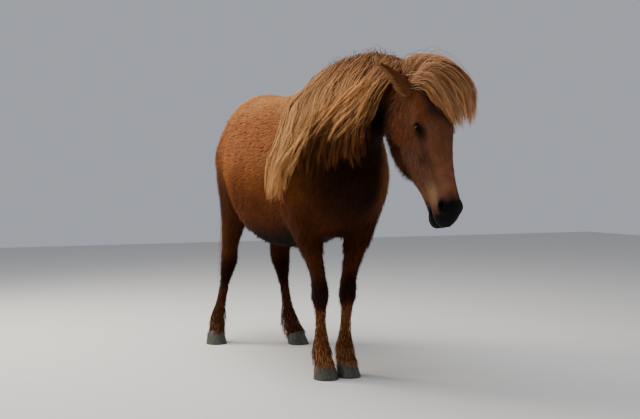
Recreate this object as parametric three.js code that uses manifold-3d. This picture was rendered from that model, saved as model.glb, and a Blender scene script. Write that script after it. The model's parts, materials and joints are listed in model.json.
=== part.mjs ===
// A life-size Icelandic horse, standing at rest with its head low and turned a little to its left.
// Millimetres, +Z up, +X the way the horse faces, +Y its left side. The hooves stand on z = 0.
// Forms are laid out with x = 0 over the front hooves, and the whole is then moved onto its origin,
// on the floor below the middle of everything.
import * as THREE from "three";
import Module from "manifold-3d";
import { mergeVertices } from "three/addons/utils/BufferGeometryUtils.js";

const wasm = await Module();
wasm.setup();

// Driving dimensions
const withersHeight = 1383;
const headYaw = THREE.MathUtils.degToRad(18);
const headTilt = THREE.MathUtils.degToRad(18);
const poll = new THREE.Vector3(512, 131, 1314);
const gap = 0.35;
const shortEdge = 0.02;
const nearPoints = 1e-3;
const hair = 0.05;

// The coat, horn and eye colours
const finish = {
  coat: { color: 0x7a4424, roughness: 0.75, metalness: 0 },
  horn: { color: 0x47453d, roughness: 0.6, metalness: 0 },
  eye: { color: 0x120b08, roughness: 0.1, metalness: 0 },
};

// Small helpers for numbers and directions
const up = new THREE.Vector3(0, 0, 1);
const vec = (x, y, z) => new THREE.Vector3(x, y, z);
const clamp = THREE.MathUtils.clamp;
const mix = THREE.MathUtils.lerp;
const smooth = (t) => t * t * (3 - 2 * t);

// A seeded random draw between low and high
function draws(seed) {
  let state = seed;
  return (low, high) => {
    state = (state * 1664525 + 1013904223) % 4294967296;
    return low + ((high - low) * state) / 4294967296;
  };
}

// A smooth curve through the rows of a table that never swings past them (Steffen's slopes)
function throughRows(rows) {
  const x = rows.map((row) => row[0]);
  const last = rows.length - 1;
  const slope = (i, k) => {
    if (i === 0 || i === last) return 0;
    const h0 = x[i] - x[i - 1];
    const h1 = x[i + 1] - x[i];
    const s0 = (rows[i][k] - rows[i - 1][k]) / h0;
    const s1 = (rows[i + 1][k] - rows[i][k]) / h1;
    const p = (s0 * h1 + s1 * h0) / (h0 + h1);
    return (Math.sign(s0) + Math.sign(s1)) * Math.min(Math.abs(s0), Math.abs(s1), 0.5 * Math.abs(p));
  };
  return (at) => {
    let i = 0;
    while (i < last - 1 && at > x[i + 1]) i++;
    const h = x[i + 1] - x[i];
    const t = clamp((at - x[i]) / h, 0, 1);
    return rows[0].map((_, k) => {
      const a = rows[i][k];
      const b = rows[i + 1][k];
      const m0 = slope(i, k) * h;
      const m1 = slope(i + 1, k) * h;
      const t2 = t * t;
      const t3 = t2 * t;
      return a * (2 * t3 - 3 * t2 + 1) + m0 * (t3 - 2 * t2 + t) + b * (3 * t2 - 2 * t3) + m1 * (t3 - t2);
    });
  };
}

// How full a section is at share v of its height, against a plain ellipse
function fullness(rib, v) {
  const full = v >= 0 ? rib.topFull : rib.lowFull;
  return 1 + (full - 1) * smooth(Math.min(Math.abs(v), 1));
}

// A form is a closed body through a row of ribs, each a flat rounded section round its own centre
class Form {
  constructor(rows, ribAt, sides, perRow) {
    this.sides = sides;
    const curve = throughRows(rows);
    const ribs = [];
    for (let i = 0; i < rows.length - 1; i++) {
      for (let j = 0; j < perRow; j++) ribs.push(ribAt(curve(mix(rows[i][0], rows[i + 1][0], j / perRow))));
    }
    ribs.push(ribAt(curve(rows.at(-1)[0])));
    this.ribs = ribs;
    for (const rib of ribs) rib.along = rib.side.clone().cross(rib.up);
  }

  pointOn(rib, angle, grow) {
    const v = Math.sin(angle);
    const high = (v >= 0 ? rib.high : rib.deep) * v;
    const wide = rib.half * fullness(rib, v) * Math.cos(angle);
    const out = rib.side.clone().multiplyScalar(wide).addScaledVector(rib.up, high);
    const length = out.length();
    return rib.centre.clone().addScaledVector(out, (length + grow) / length);
  }

  // Signed distance from the form's side, near enough for laying hair and easing joints
  distance(point) {
    let best = Infinity;
    const ribs = this.ribs;
    for (let i = 0; i < ribs.length - 1; i++) {
      const a = ribs[i];
      const b = ribs[i + 1];
      const before = point.clone().sub(a.centre).dot(a.along);
      const after = point.clone().sub(b.centre).dot(b.along);
      if (before * after > 0) continue;
      const t = Math.abs(before) / (Math.abs(before) + Math.abs(after) + 1e-9);
      const centre = a.centre.clone().lerp(b.centre, t);
      const local = point.clone().sub(centre);
      const y = local.dot(a.side.clone().lerp(b.side, t));
      const z = local.dot(a.up.clone().lerp(b.up, t));
      const v = z / (z >= 0 ? mix(a.high, b.high, t) : mix(a.deep, b.deep, t));
      let ratio = 1;
      for (let pass = 0; pass < 3; pass++) {
        const half = mix(a.half * fullness(a, v / ratio), b.half * fullness(b, v / ratio), t);
        ratio = Math.hypot(y / half, v) + 1e-9;
      }
      const away = Math.hypot(y, z) * (1 - 1 / ratio);
      if (away < best) best = away;
    }
    return best;
  }

  // The form's closed mesh, grown by a margin and eased out where it runs into its neighbours
  mesh(grow = 0, neighbours = []) {
    const points = [];
    const first = this.ribs[0];
    const last = this.ribs.at(-1);
    points.push(first.centre.clone().addScaledVector(first.along, -grow * this.facing()));
    for (const rib of this.ribs) {
      for (let k = 0; k < this.sides; k++) {
        const angle = (2 * Math.PI * (k + 0.5)) / this.sides;
        const point = this.pointOn(rib, angle, grow);
        const away = point.clone().sub(rib.centre).normalize();
        for (const { form, reach } of neighbours) {
          const near = reach - Math.abs(form.distance(point));
          if (near > 0) point.addScaledVector(away, (near * near) / (4 * reach));
        }
        points.push(point);
      }
    }
    points.push(last.centre.clone().addScaledVector(last.along, grow * this.facing()));
    return ringed(points, this.ribs.length, this.sides);
  }

  // +1 where the ribs run the way their own normals point
  facing() {
    const run = this.ribs[1].centre.clone().sub(this.ribs[0].centre);
    return Math.sign(run.dot(this.ribs[0].along)) || 1;
  }
}

// A closed mesh from a start point, rings of points and an end point
function ringed(points, rings, sides) {
  const faces = [];
  const at = (r, k) => 1 + r * sides + (k % sides);
  for (let k = 0; k < sides; k++) faces.push(0, at(0, k + 1), at(0, k));
  for (let r = 0; r < rings - 1; r++) {
    for (let k = 0; k < sides; k++) {
      faces.push(at(r, k), at(r, k + 1), at(r + 1, k + 1));
      faces.push(at(r, k), at(r + 1, k + 1), at(r + 1, k));
    }
  }
  for (let k = 0; k < sides; k++) faces.push(at(rings - 1, k), at(rings - 1, k + 1), points.length - 1);
  const geometry = new THREE.BufferGeometry().setFromPoints(points);
  geometry.setIndex(faces);
  return geometry;
}

// A solid for joining and cutting, from any closed geometry, turned the right way out
function solid(geometry) {
  const bare = geometry.clone();
  bare.deleteAttribute("normal");
  bare.deleteAttribute("uv");
  const merged = mergeVertices(bare, nearPoints);
  const make = (faces) =>
    new wasm.Manifold(
      new wasm.Mesh({
        numProp: 3,
        vertProperties: new Float32Array(merged.attributes.position.array),
        triVerts: faces,
        tolerance: shortEdge,
      }),
    );
  const faces = new Uint32Array(wholeFaces([...merged.index.array]));
  const made = make(faces);
  return made.volume() > 0 ? made : make(faces.reverse());
}

// The triangles of an index list that have three different corners
function wholeFaces(corners) {
  const faces = [];
  for (let t = 0; t < corners.length; t += 3) {
    const [a, b, c] = corners.slice(t, t + 3);
    if (a !== b && b !== c && c !== a) faces.push(a, b, c);
  }
  return faces;
}

const joined = (solids) => solids.reduce((a, b) => a.add(b));

// A closed thin sheet between two grids of points, its front and its back
function sheet(front, back, rows, columns) {
  const faces = [];
  const f = (r, c) => r * columns + c;
  const b = (r, c) => front.length + r * columns + c;
  const quad = (p, q, r, s) => faces.push(p, q, r, p, r, s);
  for (let r = 0; r < rows - 1; r++) {
    for (let c = 0; c < columns - 1; c++) {
      quad(f(r, c), f(r, c + 1), f(r + 1, c + 1), f(r + 1, c));
      quad(b(r, c), b(r + 1, c), b(r + 1, c + 1), b(r, c + 1));
    }
    quad(f(r, 0), f(r + 1, 0), b(r + 1, 0), b(r, 0));
    quad(f(r, columns - 1), b(r, columns - 1), b(r + 1, columns - 1), f(r + 1, columns - 1));
  }
  for (let c = 0; c < columns - 1; c++) {
    quad(f(0, c), b(0, c), b(0, c + 1), f(0, c + 1));
    quad(f(rows - 1, c), f(rows - 1, c + 1), b(rows - 1, c + 1), b(rows - 1, c));
  }
  const geometry = new THREE.BufferGeometry().setFromPoints([...front, ...back]);
  geometry.setIndex(faces);
  return geometry;
}

// Everything past a plane, as a box large enough to hold the horse
function beyond(point, normal, back = 0) {
  const reach = 1700;
  const way = normal.clone().normalize();
  const box = new THREE.BoxGeometry(2 * reach, 2 * reach, 2 * reach);
  box.applyQuaternion(new THREE.Quaternion().setFromUnitVectors(vec(1, 0, 0), way));
  const centre = point.clone().addScaledVector(way, reach - back);
  return solid(box.translate(centre.x, centre.y, centre.z));
}

// A ball stretched to three half sizes along its own axes, placed at a point
function ball(centre, sizes, axes, grow = 0, detail = [10, 7]) {
  const geometry = new THREE.SphereGeometry(1, ...detail);
  const [a, b, c] = sizes.map((size) => size + grow);
  const turned = new THREE.Matrix4().makeBasis(
    axes[0].clone().multiplyScalar(a),
    axes[1].clone().multiplyScalar(b),
    axes[2].clone().multiplyScalar(c),
  );
  return geometry.applyMatrix4(turned.setPosition(centre));
}

// The body hangs a little to the left of the middle of its front hooves
const bodyShift = 15;

// The trunk: upright sections across the body, from the breast to the buttocks
// x, lowest z, z of the widest line, highest z, half width, fullness above and below
const trunkRows = [
  [-1238, 1030, 1065, 1100, 30, 1, 1],
  [-1218, 965, 1055, 1175, 102, 1, 1],
  [-1170, 912, 1042, 1246, 160, 1, 0.95],
  [-1095, 865, 1030, 1312, 204, 1.02, 0.9],
  [-1000, 800, 1015, 1354, 232, 1.05, 0.9],
  [-900, 705, 1000, 1366, 252, 1.02, 0.92],
  [-800, 628, 970, 1356, 281, 1, 0.96],
  [-690, 586, 940, 1340, 304, 0.98, 1],
  [-560, 570, 920, 1328, 318, 0.95, 1],
  [-430, 574, 915, 1332, 312, 0.9, 1],
  [-300, 596, 920, 1350, 298, 0.8, 1],
  [-180, 622, 925, withersHeight - 3, 284, 0.66, 1],
  [-100, 638, 925, withersHeight, 274, 0.62, 1],
  [0, 656, 925, 1325, 256, 0.72, 1],
  [90, 704, 935, 1215, 224, 0.9, 1],
  [150, 770, 945, 1110, 174, 1, 1],
  [188, 832, 948, 1052, 116, 1, 1],
  [208, 900, 950, 1000, 46, 1, 1],
];
const trunk = new Form(
  trunkRows,
  ([x, low, middle, high, half, topFull, lowFull]) => ({
    centre: vec(x, bodyShift, middle),
    up,
    side: vec(0, 1, 0),
    high: high - middle,
    deep: middle - low,
    half,
    topFull,
    lowFull,
  }),
  18,
  2,
);

// The neck: sections from the throat line up to the crest, on a curve that swings to the left
// share of the neck, crest x and z, throat x and z, half width, fullness above and below
const neckRows = [
  [0, -200, 1325, 40, 850, 140, 0.8, 1],
  [1, -110, 1372, 135, 905, 158, 0.6, 1],
  [2, 10, 1396, 184, 980, 146, 0.5, 1],
  [3, 125, 1409, 222, 1036, 126, 0.46, 1],
  [4, 235, 1411, 266, 1076, 108, 0.46, 1],
  [5, 335, 1398, 318, 1098, 96, 0.5, 1],
  [6, 422, 1372, 368, 1112, 87, 0.6, 1],
  [7, 486, 1340, 408, 1122, 79, 0.8, 1],
  [8, 528, 1300, 444, 1134, 66, 1, 1],
];
const neckSwing = (x) => bodyShift + 118 * Math.pow(clamp((x + 120) / 630, 0, 1.2), 1.35);
const neck = new Form(
  neckRows,
  ([, crestX, crestZ, throatX, throatZ, half, topFull, lowFull]) => {
    const crest = vec(crestX, neckSwing(crestX), crestZ);
    const throat = vec(throatX, neckSwing(throatX), throatZ);
    const rise = crest.clone().sub(throat);
    const middle = 0.48;
    const run = vec(1, (neckSwing(throatX + 10) - neckSwing(throatX - 10)) / 20, 0);
    const upward = rise.clone().normalize();
    const side = upward.clone().cross(run).normalize();
    return {
      centre: throat.clone().addScaledVector(rise, middle),
      up: upward,
      side,
      high: rise.length() * (1 - middle),
      deep: rise.length() * middle,
      half,
      topFull,
      lowFull,
    };
  },
  18,
  2,
);

// The head: sections down the long axis from the poll to the lips
const headForward = vec(Math.cos(headYaw), Math.sin(headYaw), 0);
const headLeft = vec(-Math.sin(headYaw), Math.cos(headYaw), 0);
const headDown = headForward.clone().multiplyScalar(Math.sin(headTilt)).addScaledVector(up, -Math.cos(headTilt));
const headFace = headForward.clone().multiplyScalar(Math.cos(headTilt)).addScaledVector(up, Math.sin(headTilt));
// A direction, and a point, given down the head, out of its face and to its left
const headWay = (down, face, left) =>
  vec(0, 0, 0).addScaledVector(headDown, down).addScaledVector(headFace, face).addScaledVector(headLeft, left);
const inHead = (down, face, left) => poll.clone().add(headWay(down, face, left));

// distance down the head, face line, line of the widest part, jaw line, half width, fullness above and below
const headRows = [
  [-22, 20, 0, -22, 26, 1, 1],
  [-8, 44, 4, -60, 54, 1, 0.9],
  [30, 66, 14, -112, 72, 1.05, 0.82],
  [80, 84, 22, -164, 87, 1.1, 0.78],
  [140, 94, 28, -202, 99, 1.15, 0.74],
  [195, 96, 28, -214, 105, 1.15, 0.7],
  [245, 92, 20, -206, 99, 1.1, 0.72],
  [300, 84, 8, -182, 83, 1.05, 0.78],
  [360, 74, 0, -150, 69, 1.05, 0.8],
  [425, 66, -8, -118, 60, 1.1, 0.82],
  [480, 63, -10, -100, 58, 1.15, 0.86],
  [530, 62, -10, -90, 60, 1.2, 0.86],
  [570, 50, -14, -88, 57, 1.15, 0.86],
  [597, 30, -20, -80, 46, 1.05, 0.9],
  [615, 4, -26, -54, 25, 1, 1],
];
const head = new Form(
  headRows,
  ([down, face, middle, jaw, half, topFull, lowFull]) => ({
    centre: inHead(down, middle, 0),
    up: headFace,
    side: headLeft,
    high: face - middle,
    deep: middle - jaw,
    half,
    topFull,
    lowFull,
  }),
  18,
  2,
);

// The front leg: level sections, from the shoulder down into the hoof
// z, back x, front x, half width, measured from the hoof's own middle
const frontLegRows = [
  [20, -38, 26, 24],
  [50, -48, 34, 38],
  [74, -52, 38, 43],
  [95, -60, 26, 36],
  [118, -74, 12, 34],
  [142, -86, 4, 39],
  [166, -82, -2, 36],
  [200, -74, -10, 29],
  [260, -71, -11, 27],
  [305, -73, -6, 32],
  [340, -82, 6, 41],
  [378, -90, 14, 48],
  [415, -88, 14, 46],
  [460, -90, 8, 43],
  [530, -106, 16, 49],
  [610, -132, 32, 60],
  [690, -166, 52, 76],
  [760, -192, 76, 90],
  [830, -202, 106, 94],
  [900, -196, 122, 84],
  [970, -170, 118, 48],
];
// The hind leg: from the haunch down into the hoof
const hindLegRows = [
  [20, -38, 26, 24],
  [50, -46, 32, 38],
  [72, -50, 36, 42],
  [95, -58, 24, 36],
  [120, -72, 12, 35],
  [150, -86, 4, 40],
  [176, -84, -4, 37],
  [212, -78, -14, 31],
  [265, -76, -16, 29],
  [325, -80, -18, 31],
  [375, -88, -12, 38],
  [415, -98, 0, 45],
  [455, -112, 10, 49],
  [495, -120, 22, 47],
  [535, -118, 42, 44],
  [585, -102, 76, 50],
  [645, -88, 124, 60],
  [710, -82, 186, 74],
  [780, -84, 258, 89],
  [850, -92, 312, 102],
  [920, -102, 336, 112],
  [1000, -104, 326, 114],
  [1080, -88, 288, 98],
  [1150, -46, 214, 62],
];
// Each leg stands on its own hoof and swings from there to the body: foot x and y, then the y of knee or hock and of root
const stance = {
  front_right: { rows: frontLegRows, footX: 4, footY: -47, jointZ: 390, jointY: -62, rootY: -114, turn: -4 },
  front_left: { rows: frontLegRows, footX: -4, footY: 71, jointZ: 390, jointY: 86, rootY: 148, turn: 4 },
  hind_right: { rows: hindLegRows, footX: -1120, footY: -202, jointZ: 455, jointY: -112, rootY: -108, turn: -6 },
  hind_left: { rows: hindLegRows, footX: -928, footY: 206, jointZ: 455, jointY: 174, rootY: 140, turn: 44 },
};
const hindSquareX = -1120;

function legForm(name) {
  const { rows, footX, footY, jointZ, jointY, rootY, turn } = stance[name];
  const hind = name.startsWith("hind");
  const topZ = rows.at(-1)[0];
  const outward = Math.sign(rootY);
  return new Form(
    rows,
    ([z, back, front, half]) => {
      // a hind foot may stand ahead of its square place, and its leg then slants back up to the hip
      const step = hind ? (footX - hindSquareX) * (1 - smooth(clamp(z / 980, 0, 1))) : 0;
      const x = (hind ? hindSquareX : footX) + step;
      const share = clamp((z - 60) / (jointZ - 60), 0, 1);
      const above = clamp((z - jointZ) / (0.72 * topZ - jointZ), 0, 1);
      const y = mix(mix(footY, jointY, share), rootY, smooth(above));
      const turned = THREE.MathUtils.degToRad(turn * (1 - clamp(z / 900, 0, 1)));
      const ahead = vec(Math.cos(turned), Math.sin(turned), 0);
      const across = vec(-Math.sin(turned), Math.cos(turned), 0);
      return {
        centre: vec(x, y, z).addScaledVector(ahead, (back + front) / 2),
        up: ahead,
        side: across.multiplyScalar(outward),
        high: (front - back) / 2,
        deep: (front - back) / 2,
        half,
        topFull: 1.05,
        lowFull: 0.95,
      };
    },
    12,
    1,
  );
}
const legNames = Object.keys(stance);
const legs = Object.fromEntries(legNames.map((name) => [name, legForm(name)]));

// A hoof: a slanting horn wall from a flat sole up to the sloping coronet
const hoof = { length: 126, width: 114, toeHeight: 78, heelHeight: 42, topLength: 96, topWidth: 92, lean: -20 };
function hoofMesh(name, grow = 0) {
  const { footX, footY, turn } = stance[name];
  const sides = 18;
  const levels = [0, 0.5, 1];
  const points = [vec(0, 0, 0)];
  for (const level of levels) {
    for (let k = 0; k < sides; k++) {
      const angle = (2 * Math.PI * (k + 0.5)) / sides;
      const long = mix(hoof.length, hoof.topLength, level) / 2 + grow;
      const wide = mix(hoof.width, hoof.topWidth, level) / 2 + grow;
      // the wall is round at the toe and squarer at the heels
      const forward = Math.cos(angle);
      const heel = forward < 0 ? 0.86 : 1;
      const x = long * forward * heel + hoof.lean * level;
      const y = wide * Math.sin(angle) * (forward < 0 ? 1 - 0.12 * forward * forward : 1);
      const slope = clamp((x + hoof.topLength / 2 - hoof.lean) / hoof.topLength, 0, 1);
      const z = level * (mix(hoof.heelHeight, hoof.toeHeight, slope) + grow);
      points.push(vec(x, y, z));
    }
  }
  points.push(vec(hoof.lean, 0, (hoof.heelHeight + hoof.toeHeight) / 2 + grow));
  const placed = ringed(points, levels.length, sides);
  placed.rotateZ(THREE.MathUtils.degToRad(turn));
  return placed.translate(footX, footY, 0);
}
const hoofSolid = (name, grow) => solid(hoofMesh(name, grow));

// All the flesh in one solid, each form eased out where it runs into the next
const ease = {
  trunk: [{ form: neck, reach: 90 }, ...legNames.map((name) => ({ form: legs[name], reach: 60 }))],
  neck: [{ form: trunk, reach: 90 }, { form: head, reach: 45 }],
  head: [{ form: neck, reach: 45 }],
  leg: [{ form: trunk, reach: 60 }],
};
const fleshSolid = (grow) =>
  joined([
    solid(trunk.mesh(grow, ease.trunk)),
    solid(neck.mesh(grow, ease.neck)),
    solid(head.mesh(grow, ease.head)),
    ...legNames.map((name) => solid(legs[name].mesh(grow, ease.leg))),
  ]);
const flesh = fleshSolid(0);
const grownFlesh = fleshSolid(gap);

// The flesh is parted by thin flat cuts: across the base of the neck, behind the jaw, and under the body at each leg
const neckBase = { point: vec(-110, 0, withersHeight), normal: vec(505, 0, 340) };
const jawBack = { point: inHead(-60, -30, 0), normal: headWay(205, 260, 0) };
const pastNeckBase = (back) => beyond(neckBase.point, neckBase.normal, back);
const pastJawBack = (back) => beyond(jawBack.point, jawBack.normal, back);
const legCuts = {
  front: { from: -190, to: 240, point: (side) => vec(0, bodyShift + side * 40, 622), normal: (side) => vec(0, side * 165, -200) },
  hind: { from: -1400, to: -700, point: () => vec(-860, 0, 640), normal: () => vec(-220, 0, -378) },
};
function legZone(name, grow) {
  const [pair, flank] = name.split("_");
  const side = flank === "left" ? 1 : -1;
  const { from, to, point, normal } = legCuts[pair];
  const box = new THREE.BoxGeometry(to - from + 2 * grow, 400, 1400);
  box.translate((from + to) / 2, bodyShift + side * (200 + gap / 2 - grow), 600);
  return solid(box).intersect(beyond(point(side), normal(side), grow));
}

// Eyes: balls set in the sides of the head, each looking outward and a little ahead, within two lids
const eye = { down: 222, face: 30, out: 86, radius: 21, lid: 24.5, opening: [19, 11, 16] };
const eyeCentre = (side) => inHead(eye.down, eye.face, side * eye.out);
function eyeAxes(side) {
  const look = headWay(0.08, 0.34, side * 0.94).normalize();
  const corner = headWay(0.94, 0.3, 0).cross(look).cross(look).negate().normalize();
  return [corner, look.clone().cross(corner), look];
}
const eyeSolid = (side, grow) => solid(ball(eyeCentre(side), [eye.radius, eye.radius, eye.radius], eyeAxes(side), grow));

// Ears: each a leaf rolled into a cup, almost closed at its base and open toward the tip
const ear = { length: 155, half: 29, thick: 5, down: 50, face: 14, out: 74 };
const earPose = {
  right: { side: -1, axis: [-0.36, -0.66, 0.62], open: headWay(0.1, -0.5, -0.8) },
  left: { side: 1, axis: [0.45, 0.85, 0.3], open: headWay(0.5, 0.6, 0.5) },
};
function earSolid(name, grow = 0) {
  const { side, axis, open } = earPose[name];
  const along = headForward.clone().multiplyScalar(axis[0]).addScaledVector(headLeft, axis[1]).addScaledVector(up, axis[2]);
  const across = along.clone().cross(open).normalize();
  const front = across.clone().cross(along).normalize();
  const base = inHead(ear.down, ear.face, side * ear.out);
  const rows = 7;
  const columns = 7;
  const outer = [];
  const inner = [];
  for (let r = 0; r < rows; r++) {
    const share = r / (rows - 1);
    const half = ear.half * (0.2 + 0.8 * Math.pow(Math.sin(Math.PI * mix(0.24, 1, share)), 0.75));
    const roll = mix(2.7, 1.05, smooth(share));
    const thick = mix(ear.thick, 2.4, share);
    const centre = base.clone().addScaledVector(along, mix(-24, ear.length, share) + grow * share);
    for (let c = 0; c < columns; c++) {
      const angle = roll * (1 + grow / half) * mix(-1, 1, c / (columns - 1));
      const way = front.clone().multiplyScalar(-Math.cos(angle)).addScaledVector(across, Math.sin(angle));
      outer.push(centre.clone().addScaledVector(way, half + grow));
      inner.push(centre.clone().addScaledVector(way, half - thick - grow));
    }
  }
  return solid(sheet(outer, inner, rows, columns));
}

// The head's own features: brow, lids, nostrils, chin, and the line of the mouth
const brow = { down: 186, face: 42, out: 76, sizes: [44, 20, 24] };
const nostril = { down: 546, face: 22, out: 42, sizes: [30, 24, 24], pitOut: 60, pit: [15, 7, 17] };
const chin = { down: 576, face: -68, sizes: [38, 28, 36] };
const mouth = { down: 566, face: -42, sizes: [62, 2.2, 100], deep: 7 };
const headAxes = [headDown, headFace, headLeft];
function dressedHead(bare) {
  let made = bare.add(solid(ball(inHead(chin.down, chin.face, 0), chin.sizes, headAxes)));
  for (const side of [1, -1]) {
    made = made.add(solid(ball(inHead(brow.down, brow.face, side * brow.out), brow.sizes, headAxes, 0, [10, 6])));
    made = made.add(solid(ball(inHead(nostril.down, nostril.face, side * nostril.out), nostril.sizes, headAxes, 0, [10, 6])));
    const [corner, lift, look] = eyeAxes(side);
    made = made.add(solid(ball(eyeCentre(side), [eye.lid, eye.lid, eye.lid], [corner, lift, look])));
    const opened = eyeCentre(side).addScaledVector(look, eye.radius);
    made = made.subtract(solid(ball(opened, eye.opening, [corner, lift, look])));
    made = made.subtract(eyeSolid(side, gap));
    const slant = headWay(0.8, -0.6, 0);
    const pitAxes = [slant, headLeft.clone().cross(slant), headLeft];
    made = made.subtract(solid(ball(inHead(nostril.down, nostril.face, side * nostril.pitOut), nostril.pit, pitAxes, 0, [9, 6])));
  }
  const slot = solid(ball(inHead(mouth.down, mouth.face, 0), mouth.sizes, headAxes, 0, [22, 4]));
  return made.subtract(slot.subtract(solid(head.mesh(-mouth.deep))));
}

// How far a point stands off the flesh, with its forms eased together, and the way straight out of it
const fleshForms = [trunk, neck, head, ...legNames.map((name) => legs[name])];
function offFlesh(point) {
  const reach = 90;
  return fleshForms
    .map((form) => form.distance(point))
    .reduce((a, b) => Math.min(a, b) - (Math.max(reach - Math.abs(a - b), 0) || 0) ** 2 / (4 * reach));
}
function outOfFlesh(point) {
  const step = 6;
  const slope = (way) =>
    offFlesh(point.clone().addScaledVector(way, step)) - offFlesh(point.clone().addScaledVector(way, -step));
  const way = vec(slope(vec(1, 0, 0)), slope(vec(0, 1, 0)), slope(up));
  return Number.isFinite(way.length()) && way.length() > 0.1 ? way.normalize() : vec(0, 0, 0);
}

// A lock of hair: a flat diamond section swept down a line, broad across its facing side, ending in a point
function lock(line, facing, width, thick, grow = 0) {
  const rings = line.length - 1;
  const points = [line[0].clone().addScaledVector(line[1].clone().sub(line[0]).normalize(), -2)];
  for (let i = 0; i < rings; i++) {
    const share = i / rings;
    const run = line[i + 1].clone().sub(line[Math.max(i - 1, 0)]).normalize();
    const across = run.clone().cross(facing[i]).normalize();
    const out = across.clone().cross(run).normalize();
    const swell = mix(0.6, 1, smooth(clamp(share / 0.35, 0, 1))) * (1 - 0.75 * smooth(clamp((share - 0.4) / 0.6, 0, 1)));
    for (let k = 0; k < 4; k++) {
      const angle = (Math.PI * k) / 2;
      points.push(
        line[i].clone()
          .addScaledVector(across, (0.5 * width * swell + grow) * Math.cos(angle))
          .addScaledVector(out, (0.5 * thick * (0.4 + 0.6 * swell) + grow) * Math.sin(angle)),
      );
    }
  }
  points.push(line[rings]);
  return solid(ringed(points, rings, 4));
}

// A lock laid over the body: it arches from its root, then steps the way it wishes to fall, kept off the flesh
function laidLock({ root, rise, arch, wish, length, height, width, thick, grow }) {
  const shares = [0.1, 0.26, 0.44, 0.62, 0.81, 1];
  let point = root.clone().addScaledVector(rise, arch);
  const line = [root.clone().addScaledVector(rise, -12), point.clone()];
  let before = 0;
  for (const share of shares) {
    point = point.clone().addScaledVector(wish(share).normalize(), (share - before) * length);
    before = share;
    for (let pass = 0; pass < 3; pass++) {
      const lift = height(share) - offFlesh(point);
      if (lift > 0) point.addScaledVector(outOfFlesh(point), lift);
    }
    line.push(point.clone());
  }
  const facing = line.map((at) => outOfFlesh(at)).map((out) => (out.length() > 0.5 ? out : rise));
  return lock(line, facing, width, thick, grow);
}

// The mane: locks rooted along the crest that arch over it and fall down the right side, blown back
// A close layer hangs under a longer one that the wind lays back, most of all near the ears
const mane = [
  { count: 6, height: 8, arch: 8, width: 124, length: 440, blown: [0.45, 0.1], seed: 11 },
  { count: 10, height: 20, arch: 30, width: 94, length: 600, blown: [0.35, 0.95], seed: 13 },
];
const crestCurve = throughRows(neckRows.map((row) => [row[1], row[2]]));
function crestPoint(share) {
  const x = mix(-95, 474, share);
  return vec(x, neckSwing(x), crestCurve(x)[1]);
}
function maneLocks(grow = 0) {
  const locks = [];
  for (const { count, height, arch, width, length, blown, seed } of mane) {
    const draw = draws(seed);
    for (let i = 0; i < count; i++) {
      // 0 at the withers and 1 behind the ears
      const share = (i + 0.5 + draw(-0.2, 0.2)) / count;
      const back = mix(...blown, share) * draw(0.85, 1.15);
      const turn = (s) => smooth(clamp(s / 0.3, 0, 1));
      locks.push(
        laidLock({
          root: crestPoint(share).add(vec(0, draw(0, 8), 0)),
          rise: vec(0, 0.1, 1).normalize(),
          arch: arch * mix(0.6, 1.2, share),
          wish: (s) => vec(-back, -1.3 * (1 - turn(s)), 0.1 - 1.1 * turn(s)),
          length: length * draw(0.88, 1.06),
          height: (s) => height + 8 * Math.pow(1 - s, 2),
          width: width * draw(0.85, 1.15),
          thick: 13,
          grow,
        }),
      );
    }
  }
  return locks;
}

// The forelock: locks from between the ears, thrown up and forward and falling to the left over the left eye
// Three lines bound it: its lower edge, its front and its back, given down the head, out of its face and to its left
const forelock = { count: 7, width: 86, thick: 13, seed: 29 };
const forelockEdges = [
  [[18, 50, -30], [30, 100, -30], [85, 116, -4], [145, 114, 30], [195, 100, 60], [236, 84, 84]],
  [[0, 34, 10], [-48, 92, 22], [-18, 128, 96], [50, 136, 165], [115, 124, 190], [205, 82, 186]],
  [[-6, 6, -34], [-60, 48, -30], [-72, 85, 32], [-40, 100, 112], [30, 95, 176], [120, 70, 205]],
].map((edge) => new THREE.CatmullRomCurve3(edge.map((place) => inHead(...place))));
function forelockLocks() {
  const draw = draws(forelock.seed);
  const locks = [];
  for (let i = 0; i < forelock.count; i++) {
    const across = (2 * (i + draw(0.3, 0.7))) / forelock.count;
    const first = across < 1 ? 0 : 1;
    const reach = draw(0.86, 1);
    const lift = 12 * (i % 2) * (first ? 0 : 1);
    const line = [];
    for (let j = 0; j <= 6; j++) {
      const t = (reach * j) / 6;
      const point = forelockEdges[first].getPoint(t).lerp(forelockEdges[first + 1].getPoint(t), across - first);
      line.push(point.addScaledVector(headFace, lift * Math.sin(Math.PI * t)));
    }
    const facing = line.map((_, j) => headWay(mix(0, -0.5, across / 2), 1, mix(-0.2, 1.2, (across / 2) * (j / 6))).normalize());
    locks.push(lock(line, facing, forelock.width * draw(0.85, 1.15), forelock.thick));
  }
  return locks;
}

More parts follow.
